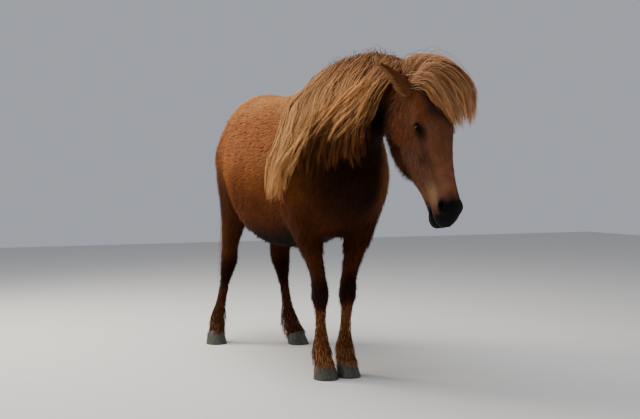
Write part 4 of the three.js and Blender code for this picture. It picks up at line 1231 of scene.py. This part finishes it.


# The mane: rooted along the crest, it arches over and falls down the right side, blown back.
# Guides run from the withers (0) to the ears (1): a layer darkened with painted shade hangs close
# under the neck's side, and a longer, sun-bleached one is laid back over it and down the shoulder.
mane_hair = hair_material("mane hair", 900, 0.34, roughness=0.48, root=0.7, tip=1.1)
crest_rows = np.array([[row[1], row[2]] for row in neck_rows], float)
mane_over_guides = [
    (0.00, [[-104, -143, 1253], [-66, -198, 1152], [-42, -246, 1040], [-54, -276, 930], [-52, -276, 800]]),
    (0.14, [[4, -130, 1260], [30, -185, 1148], [31, -230, 1039], [0, -262, 940], [-40, -276, 840]]),
    (0.30, [[50, -90, 1292], [92, -146, 1186], [91, -189, 1085], [58, -234, 990], [-4, -268, 870]]),
    (0.46, [[125, -60, 1316], [126, -109, 1225], [101, -157, 1145], [62, -215, 1045], [-10, -262, 930]]),
    (0.66, [[236, -10, 1352], [252, -46, 1285], [203, -86, 1215], [133, -132, 1145], [70, -200, 1050]]),
    (0.88, [[382, 32, 1341], [360, -12, 1290], [298, -48, 1232], [218, -82, 1178], [140, -125, 1110]]),
    (1.00, [[432, 52, 1322], [405, 10, 1262], [362, -18, 1196], [322, -40, 1130], [290, -52, 1060]]),
]
mane_under_guides = [
    (0.00, [[-60, -130, 1262], [-20, -180, 1160], [10, -215, 1060], [20, -238, 970], [10, -250, 890]]),
    (0.12, [[20, -120, 1275], [70, -168, 1170], [97, -198, 1060], [95, -220, 984], [93, -230, 905]]),
    (0.38, [[150, -62, 1306], [203, -92, 1214], [182, -112, 1130], [170, -130, 1030], [172, -136, 930]]),
    (0.70, [[330, 20, 1330], [318, -34, 1240], [290, -48, 1140], [262, -46, 1040], [250, -42, 950]]),
    (1.00, [[430, 50, 1320], [412, 2, 1250], [388, -20, 1180], [368, -26, 1110], [352, -26, 1030]]),
]

# Each layer's guides and their span, seed, strands and locks, how high it lies, how high it
# arches over the crest, how far its locks wander, and its colours at root and tip
mane_layers = {
    "mane_under": (mane_under_guides, (0, 1), 21, 5200, 90, (0.004, 0.012), (8, 18), 19),
    "mane_low": (mane_over_guides, (0, 0.48), 22, 7000, 125, (0.012, 0.036), (14, 34), 19),
    "mane_high": (mane_over_guides, (0.44, 1), 23, 7000, 125, (0.012, 0.040), (18, 40), 19),
    "mane_loose": (mane_over_guides, (0, 1), 24, 640, 320, (0.026, 0.046), (16, 38), 28),
}
mane_colours = {
    # Painted shade: the under layer is darker, as in the shadow of the layers over it.
    "mane_under": ((62, 34, 18), (118, 72, 38)),
    "mane_low": ((134, 88, 52), (250, 194, 122)),
    "mane_high": ((138, 90, 56), (234, 174, 108)),
    "mane_loose": ((150, 100, 60), (232, 172, 108)),
}
mane_steps = 11
for name, (guides, span, seed, count, locks, heights, arches, wander) in mane_layers.items():
    rng = np.random.default_rng(seed)
    share = mix(*span, (np.arange(locks) + rng.random(locks)) / locks)
    x = mix(-95, 474, share)
    crest = np.stack([x, neck_swing(x), through_rows(crest_rows, x)[:, 1]], 1)
    crest = crest + np.stack([0 * x, rng.uniform(-12, 8, locks), 0 * x], 1)
    arch = (rng.uniform(*arches, locks) * mix(0.3, 1, smooth(share / 0.22)))[:, None]
    fallen = between(guides, np.clip(share + rng.normal(0, 0.055, locks), *span))
    sunk = crest - [0, 0, 10]
    arched = crest + arch * [-0.15, -0.5, 1]
    lead = np.concatenate([sunk[:, None], arched[:, None], fallen], 1)
    along = np.linspace(0, 1, 7)[None, :, None]
    lead = lead + wander * along * (rng.normal(0, 1, (locks, 1, 3)) + 0.5 * rng.normal(0, 1, (locks, 7, 3)))
    paths, lock = in_locks(lead * mm, count, mane_steps, rng, (0.74, 1), (0.0055, 0.0035), 0.005)
    lift = rng.uniform(*heights, locks) * mix(0.5, 1, smooth(share / 0.2))
    height = (lift[lock] + rng.normal(0, 0.003, count)).clip(0.004)
    paths, facing = kept_off(paths, height)
    gold = rng.uniform(0.1, 1, locks)[lock] * rng.uniform(0.75, 1, count)
    shade = hair_shade(mane_steps, *mane_colours[name], gold)
    tint = (0.75 * rng.random(locks)[lock] + 0.25 * rng.random(count)).clip(0, 1)
    wide = rng.uniform(0.0012, 0.0022, count)
    strand_piece(name, paths, facing, wide, shade, tint, "hair", mane_hair)

# The forelock: rooted between the ears, thrown up and forward and falling over the brow to the
# left. Guides fan from its lower edge (0) over its front to its back (1), in the head's own ways.
forelock_guides = [
    (0.00, [[30, 30, -56], [52, 80, -56], [92, 97, -44], [134, 98, -26], [172, 96, 8], [200, 92, 40]]),
    (0.22, [[22, 40, -46], [34, 100, -34], [85, 114, -8], [145, 112, 26], [195, 100, 58], [238, 86, 84]]),
    (0.36, [[16, 42, -32], [8, 104, -12], [44, 122, 34], [102, 120, 78], [160, 108, 108], [232, 88, 124]]),
    (0.50, [[10, 42, -20], [-20, 102, 4], [12, 124, 62], [72, 124, 122], [138, 112, 152], [222, 88, 158]]),
    (0.72, [[0, 30, 0], [-48, 92, 22], [-18, 126, 96], [50, 132, 160], [115, 120, 186], [208, 84, 184]]),
    (0.88, [[-20, 6, -30], [-66, 50, -20], [-66, 84, 42], [-34, 98, 112], [36, 94, 172], [128, 72, 200]]),
    (1.00, [[-64, -36, -22], [-92, 12, -22], [-84, 50, 26], [-52, 76, 92], [4, 86, 148], [84, 74, 186]]),
]
rng = np.random.default_rng(31)
locks = 190
count = 8200
forelock_steps = 11
share = (np.arange(locks) + rng.random(locks)) / locks
along = np.linspace(0, 1, 6)[None, :, None]
lead = between(forelock_guides, share)
lead = lead + 8 * along * (rng.normal(0, 1, (locks, 1, 3)) + 0.5 * rng.normal(0, 1, (locks, 6, 3)))
lead = lead + np.array([0, 1, 0]) * (rng.uniform(-14, 12, (locks, 1, 1)) * np.sin(np.pi * along))
lead = poll + lead @ head_axes * mm
paths, lock = in_locks(lead, count, forelock_steps, rng, (0.72, 1.02), (0.0055, 0.0032), 0.004)
paths, facing = kept_off(paths, np.full(count, 0.006))
facing = unit(0.5 * facing + head_way(-0.5, 1, -0.1))
gold = (rng.uniform(0.2, 1, locks)[lock] * rng.uniform(0.8, 1, count)).clip(0, 1)
shade = hair_shade(forelock_steps, (210, 156, 112), (208, 152, 96), gold, -0.2)
tint = (0.75 * rng.random(locks)[lock] + 0.25 * rng.random(count)).clip(0, 1)
wide = rng.uniform(0.0012, 0.0022, count)
strand_piece("forelock", paths, facing, wide, shade, tint, "hair", mane_hair)

# The tail: a dock of bone and close hair half way down, and long strands round it to the tip
tail_places = np.array(
    [
        [-1168, 15, 1190],
        [-1222, 14, 1204],
        [-1268, 11, 1150],
        [-1286, 2, 1020],
        [-1288, -18, 860],
        [-1284, -48, 690],
        [-1280, -74, 520],
        [-1278, -90, 380],
        [-1276, -98, 262],
    ],
    float,
)
fine_tail = on_lines(tail_places[None], np.linspace(0, 1, 401)[None])[0]
tail_run = np.concatenate([[0], np.cumsum(np.linalg.norm(np.diff(fine_tail, axis=0), axis=1))])
tail_run /= tail_run[-1]


def tail_frame(share):
    """The tail's middle line and its own two ways across, at shares of its length."""
    centre = np.stack([np.interp(share, tail_run, fine_tail[:, k]) for k in range(3)], -1)
    ahead = np.stack([np.interp(share + 0.01, tail_run, fine_tail[:, k]) for k in range(3)], -1)
    behind = np.stack([np.interp(share - 0.01, tail_run, fine_tail[:, k]) for k in range(3)], -1)
    run = unit(ahead - behind)
    side = unit(np.cross(run, [1, 0, 0.2]))
    return centre, side, unit(np.cross(side, run))


dock_share = np.linspace(0.01, 0.52, 24)
dock_centre, dock_side, dock_out = tail_frame(dock_share)
dock_half = mix(26, 38, smooth(dock_share / 0.3)) * (1 - 0.75 * smooth((dock_share - 0.30) / 0.22))
angle = np.linspace(0, 2 * np.pi, 20, endpoint=False)
ring = dock_side[:, None] * np.cos(angle)[:, None] + 0.8 * dock_out[:, None] * np.sin(angle)[:, None]
dock_points = dock_centre[:, None] + ring * dock_half[:, None, None]


def tube_mesh(name, rings):
    """A closed tube through rings of points."""
    count, sides = rings.shape[:2]
    points = np.concatenate([rings.reshape(-1, 3), rings[:1].mean(1), rings[-1:].mean(1)])
    last = (count - 1) * sides
    steps = [(k, (k + 1) % sides) for k in range(sides)]
    faces = [(r + a, r + b, r + sides + b, r + sides + a) for r in range(0, last, sides) for a, b in steps]
    faces += [(b, a, count * sides) for a, b in steps]
    faces += [(last + a, last + b, count * sides + 1) for a, b in steps]
    return closed_mesh(name, points * mm, faces)


dock_mesh = tube_mesh("tail_dock", dock_points)
coloured(dock_mesh, np.tile(paint(70, 42, 24), (len(dock_mesh.vertices), 1)), 0.2)
dock_mesh.materials.append(mane_hair)
placed(dock_mesh, "hair")
rng = np.random.default_rng(41)
locks = 110
count = 6200
start = rng.uniform(0.03, 0.42, locks)
end = np.maximum(rng.uniform(0.74, 1.0, locks), start + 0.3)
share = mix(start[:, None], end[:, None], np.linspace(0, 1, 8)[None, :])
angle = (np.arange(locks) * 2.4 + rng.normal(0, 0.3, locks))[:, None]
centre, side, out = tail_frame(share)
way = side * np.cos(angle)[..., None] + out * np.sin(angle)[..., None]
full = rng.uniform(0.5, 1.1, locks)[:, None]
spread = mix(16, 44 * full, smooth((share - start[:, None]) / 0.16))
spread = spread * (1 - 0.6 * smooth((share - 0.35) / 0.6))
stray = rng.normal(0, 5, (locks, 1, 3)) * np.linspace(0, 1, 8)[:, None]
lead = centre + way * spread[..., None] + stray
tail_steps = 10
paths, lock = in_locks(lead * mm, count, tail_steps, rng, (0.9, 1), (0.006, 0.005), 0.005)
gold = rng.uniform(0.2, 1, locks)[lock]
shade = hair_shade(tail_steps, (84, 46, 24), (150, 98, 54), gold)
tint = (0.7 * rng.random(locks)[lock] + 0.3 * rng.random(count)).clip(0, 1)
facing = np.repeat(way[lock][:, 3:4], tail_steps, axis=1)
wide = rng.uniform(0.0016, 0.0028, count)
strand_piece("tail_hair", paths, facing, wide, shade, tint, "hair", mane_hair, "tail")

# The feather: longer hair all round each fetlock, shaggy behind and hanging over the hoof in front
feather_count = 1350
feather_colours = {
    "front": ((84, 44, 20), (176, 120, 72)),
    "hind": ((50, 26, 12), (112, 70, 40)),
}


def down_leg(form, values, at):
    """A leg's own values at the heights given."""
    order = np.argsort(form.centre[:, 2])
    values = values[order].reshape(len(order), -1)
    columns = [np.interp(at, form.centre[order, 2], values[:, k]) for k in range(values.shape[1])]
    return np.stack(columns, -1)


paths = []
facing = []
shades = []
rng = np.random.default_rng(51)
for leg, form in legs.items():
    at = 0.085 + 0.23 * rng.random(feather_count) ** 2
    short = smooth((at - 0.13) / 0.16)[:, None, None]
    turn = rng.uniform(-np.pi, np.pi, feather_count)[:, None]
    behind = smooth(0.5 + 0.5 * np.cos(turn))[:, None]
    ahead, side = down_leg(form, form.up, at), down_leg(form, form.side, at)
    out = unit(-ahead * np.cos(turn) + side * np.sin(turn))
    across = -ahead * (down_leg(form, form.deep, at) * np.cos(turn))
    across = across + side * (down_leg(form, form.half, at) * np.sin(turn))
    middle = down_leg(form, form.centre, at)
    fall = unit(down_leg(form, form.centre, at - 0.02) - middle)[:, None]
    fall = unit(mix(fall, np.array([0, 0, -1.0]), 0.2 + 0.6 * behind))
    share = np.linspace(0, 1, 7)[None, :, None]
    length = mix(0.040, 0.074, behind) * mix(1, 0.45, short) * rng.uniform(0.6, 1.1, (feather_count, 1, 1))
    stand = out[:, None] * mix(0.006, 0.016, behind) * mix(1, 0.1, short) * share**0.7
    stray = rng.normal(0, 0.005, (feather_count, 1, 3)) * share * mix(1, 0.2, short)
    root = middle + across * mix(0.9, 0.8, short[:, 0])
    line = root[:, None] + (fall * share * length + stand + stray)
    line[..., 2] = line[..., 2].clip(0.006)
    paths.append(line)
    facing.append(np.repeat(unit(out + [0, 0, 0.4])[:, None], 7, axis=1))
    colours = feather_colours[leg.split("_")[0]]
    shades.append(hair_shade(7, *colours, rng.uniform(0.1, 1, feather_count)))
paths = np.concatenate(paths)
facing = np.concatenate(facing)
shade = np.concatenate(shades)
wide = rng.uniform(0.0016, 0.0028, len(paths))
strand_piece("feather", paths, facing, wide, shade, rng.random(len(paths)), "coat", coat_hair)

# The hooves: slanting walls of grey horn with faint growth rings, flat underneath
hoof_size = dict(length=126, width=114, toe=78, heel=42, top_length=96, top_width=92, lean=-20)
horn, tree, surface = new_material("hoof horn", 0.55, 0.5)
place = tree.nodes.new("ShaderNodeTexCoord").outputs["Object"]
stretch = linked(tree, "ShaderNodeMapping", {"Vector": place, "Scale": (1, 1, 0.12)}).outputs["Vector"]
streak = linked(tree, "ShaderNodeTexNoise", {"Vector": stretch, "Scale": 160, "Detail": 4}).outputs["Fac"]
ramp = linked(tree, "ShaderNodeValToRGB", {"Fac": streak})
dark, pale = ramp.color_ramp.elements
dark.position = 0.32
dark.color = (*paint(40, 39, 33), 1)
pale.position = 0.72
pale.color = (*paint(80, 79, 69), 1)
tree.links.new(ramp.outputs["Color"], surface["Base Color"])
bumped(tree, surface, streak, 0.3, 0.0006)
for name, set_at in stance.items():
    sides = 56
    levels = np.array([0, 0.02, 0.06, *np.linspace(0.12, 0.94, 26), 0.975, 1])
    angle = 2 * np.pi * (np.arange(sides) + 0.5) / sides
    forward = np.cos(angle)
    rings = []
    for level in levels:
        swell = 0.35 * math.sin(level * 46) - 1.4 * max(0.0, 0.03 - level) / 0.03
        swell = swell - 2.0 * max(0.0, level - 0.95) / 0.05
        long = mix(hoof_size["length"], hoof_size["top_length"], level) / 2 + swell
        wide = mix(hoof_size["width"], hoof_size["top_width"], level) / 2 + swell
        x = long * forward * np.where(forward < 0, 0.86, 1) + hoof_size["lean"] * level
        y = wide * np.sin(angle) * np.where(forward < 0, 1 - 0.12 * forward**2, 1)
        top_length = hoof_size["top_length"]
        slope = np.clip((x + top_length / 2 - hoof_size["lean"]) / top_length, 0, 1)
        rings.append(np.stack([x, y, level * mix(hoof_size["heel"], hoof_size["toe"], slope)], 1))
    rings = np.array(rings)
    turn = math.radians(set_at["turn"])
    ahead, aside = math.cos(turn), math.sin(turn)
    turned = np.array([[ahead, aside, 0], [-aside, ahead, 0], [0, 0, 1]])
    mesh = tube_mesh(f"hoof_wall_{name}", rings @ turned + [*set_at["foot"], 0])
    mesh.materials.append(horn)
    placed(mesh, "horn", f"hoof_{name}")

# The eyes: dark wet balls with a wide flat pupil and a brown iris, set within their lids
eye_finish, tree, surface = new_material("wet eye", 0.3, 0.06)
iris = linked(tree, "ShaderNodeAttribute", attribute_name="iris").outputs["Fac"]
ramp = linked(tree, "ShaderNodeValToRGB", {"Fac": iris})
ramp.color_ramp.elements[0].color = (*paint(5, 4, 5), 1)
ramp.color_ramp.elements[1].color = (*paint(20, 13, 11), 1)
for position_along, colour in ((0.32, (7, 5, 6)), (0.4, (40, 22, 13)), (0.7, (26, 15, 10))):
    mark = ramp.color_ramp.elements.new(position_along)
    mark.color = (*paint(*colour), 1)
tree.links.new(ramp.outputs["Color"], surface["Base Color"])
for name, side in (("left", 1), ("right", -1)):
    mirror = np.array([1, 1, side])
    centre = poll + (eye_place * mirror) @ head_axes * mm
    axes = (eye_axes * mirror) @ head_axes
    turn = np.linspace(0, 2 * np.pi, 48, endpoint=False)
    tip = np.linspace(0.02, np.pi - 0.02, 30)
    cornea = 1 + 0.07 * np.clip(1 - (tip / 0.75) ** 2, 0, 1)
    away, level = np.sin(tip)[:, None], np.cos(tip)[:, None]
    local = np.stack([away * np.cos(turn), away * np.sin(turn), level + 0 * turn], -1)
    local = local * cornea[:, None, None]
    ball = centre + (local * (eye_radius - 0.3) * mm) @ axes
    mesh = tube_mesh(f"eye_ball_{name}", ball / mm)
    at = (read(mesh, "vertices", "co", 3) - layout - centre) @ axes.T / (eye_radius * mm)
    wide_pupil = np.hypot(at[:, 0] * 0.62, at[:, 1]) + np.where(at[:, 2] < 0, 1, 0)
    give(mesh, "iris", "FLOAT", wide_pupil)
    mesh.materials.append(eye_finish)
    placed(mesh, "eye", f"eye_{name}")

# The eyelids: two folds of thin dark skin over each ball, the upper one heavy and lashed
lid_reach = 1.42
lash_edge = 0.42
lid_folds = {"upper": (0.36, 1.25), "lower": (-0.58, -1.2)}


def lid_line(turn, edge):
    """How far up the ball a lid's edge stands, from corner to corner."""
    return edge * np.cos(np.pi / 2 * turn / lid_reach) ** 0.8


def on_ball(turn, lift):
    return np.stack([np.sin(turn) * np.cos(lift), np.sin(lift), np.cos(turn) * np.cos(lift)], -1)


for seed, (name, side) in enumerate((("left", 1), ("right", -1))):
    rng = np.random.default_rng(70 + seed)
    mirror = np.array([1, 1, side])
    centre = poll + (eye_place * mirror) @ head_axes * mm
    axes = (eye_axes * mirror) @ head_axes
    for fold, (edge, far) in lid_folds.items():
        turn = np.linspace(-lid_reach, lid_reach, 27)[None, :]
        back_from_edge = np.linspace(0, 1, 9)[:, None]
        way = on_ball(turn, mix(lid_line(turn, edge), far, back_from_edge**1.3)) @ axes
        rim = 1 - back_from_edge[:, None]
        front = centre + way * (eye_radius + 1.4 + 1.0 * rim**4) * mm
        back = centre + way * (eye_radius + 0.1) * mm
        mesh = sheet_mesh(f"lid_{fold}_{name}", front, back)
        amount = len(mesh.vertices)
        row = np.arange(amount) % (9 * 27) // 27
        lid_shade = np.tile(paint(98, 66, 46), (amount, 1))
        coloured(mesh, over(lid_shade, paint(54, 32, 22), smooth((row - 0.5) / 2.5)), 0.5)
        mesh.materials.append(ear_skin)
        placed(mesh, "coat")
    count = 130
    turn = rng.uniform(-0.85, 0.85, count)
    lift = lid_line(turn, lash_edge) + rng.uniform(0, 0.06, count)
    way = on_ball(turn, lift)
    share = np.linspace(0, 1, 7)[None, :, None]
    length = rng.uniform(8, 17, (count, 1, 1))
    flow = way[:, None] + np.array([0.2, -0.55, 0]) * share + rng.normal(0, 0.1, (count, 1, 3))
    local = way[:, None] * (eye_radius + 1) + flow * share * length
    paths = centre + local @ axes * mm
    facing = np.tile(axes[1] + axes[2], (count, 7, 1))
    shade = np.tile(paint(26, 16, 11), (count, 7, 1))
    wide = np.full(count, 0.0011)
    strand_piece(f"lashes_{name}", paths, facing, wide, shade, rng.random(count), "coat", coat_hair)

# A plain pale floor and soft light from above and behind, as under an overcast sky
floor_mesh = bpy.data.meshes.new("floor")
floor_mesh.from_pydata([(-9, -9, 0), (9, -9, 0), (9, 9, 0), (-9, 9, 0)], [], [(0, 1, 2, 3)])
floor = bpy.data.objects.new("floor", floor_mesh)
bpy.context.scene.collection.objects.link(floor)
floor_finish, tree, surface = new_material("pale floor", 0.9, 0.5)
surface["Base Color"].default_value = (0.62, 0.61, 0.59, 1)
floor_mesh.materials.append(floor_finish)

world = bpy.data.worlds.new("studio")
world.use_nodes = True
sky = world.node_tree.nodes["Background"].inputs
sky["Color"].default_value = (0.86, 0.90, 1.0, 1)
sky["Strength"].default_value = 0.45
bpy.context.scene.world = world


def soft_light(name, place, aim, size, power, colour):
    lamp = bpy.data.lights.new(name, "AREA")
    lamp.shape = "SQUARE"
    lamp.size = size
    lamp.energy = power
    lamp.color = colour
    made = bpy.data.objects.new(name, lamp)
    made.location = place
    made.rotation_mode = "QUATERNION"
    made.rotation_quaternion = (Vector(aim) - Vector(place)).to_track_quat("-Z", "Y")
    bpy.context.scene.collection.objects.link(made)


soft_light("sky", (-0.6, -1.2, 4.2), (0, 0, 0.9), 3.5, 260, (1.0, 0.98, 0.95))
soft_light("sun behind", (-2.6, -2.4, 2.6), (0.3, 0, 1.1), 1.2, 120, (1.0, 0.86, 0.66))
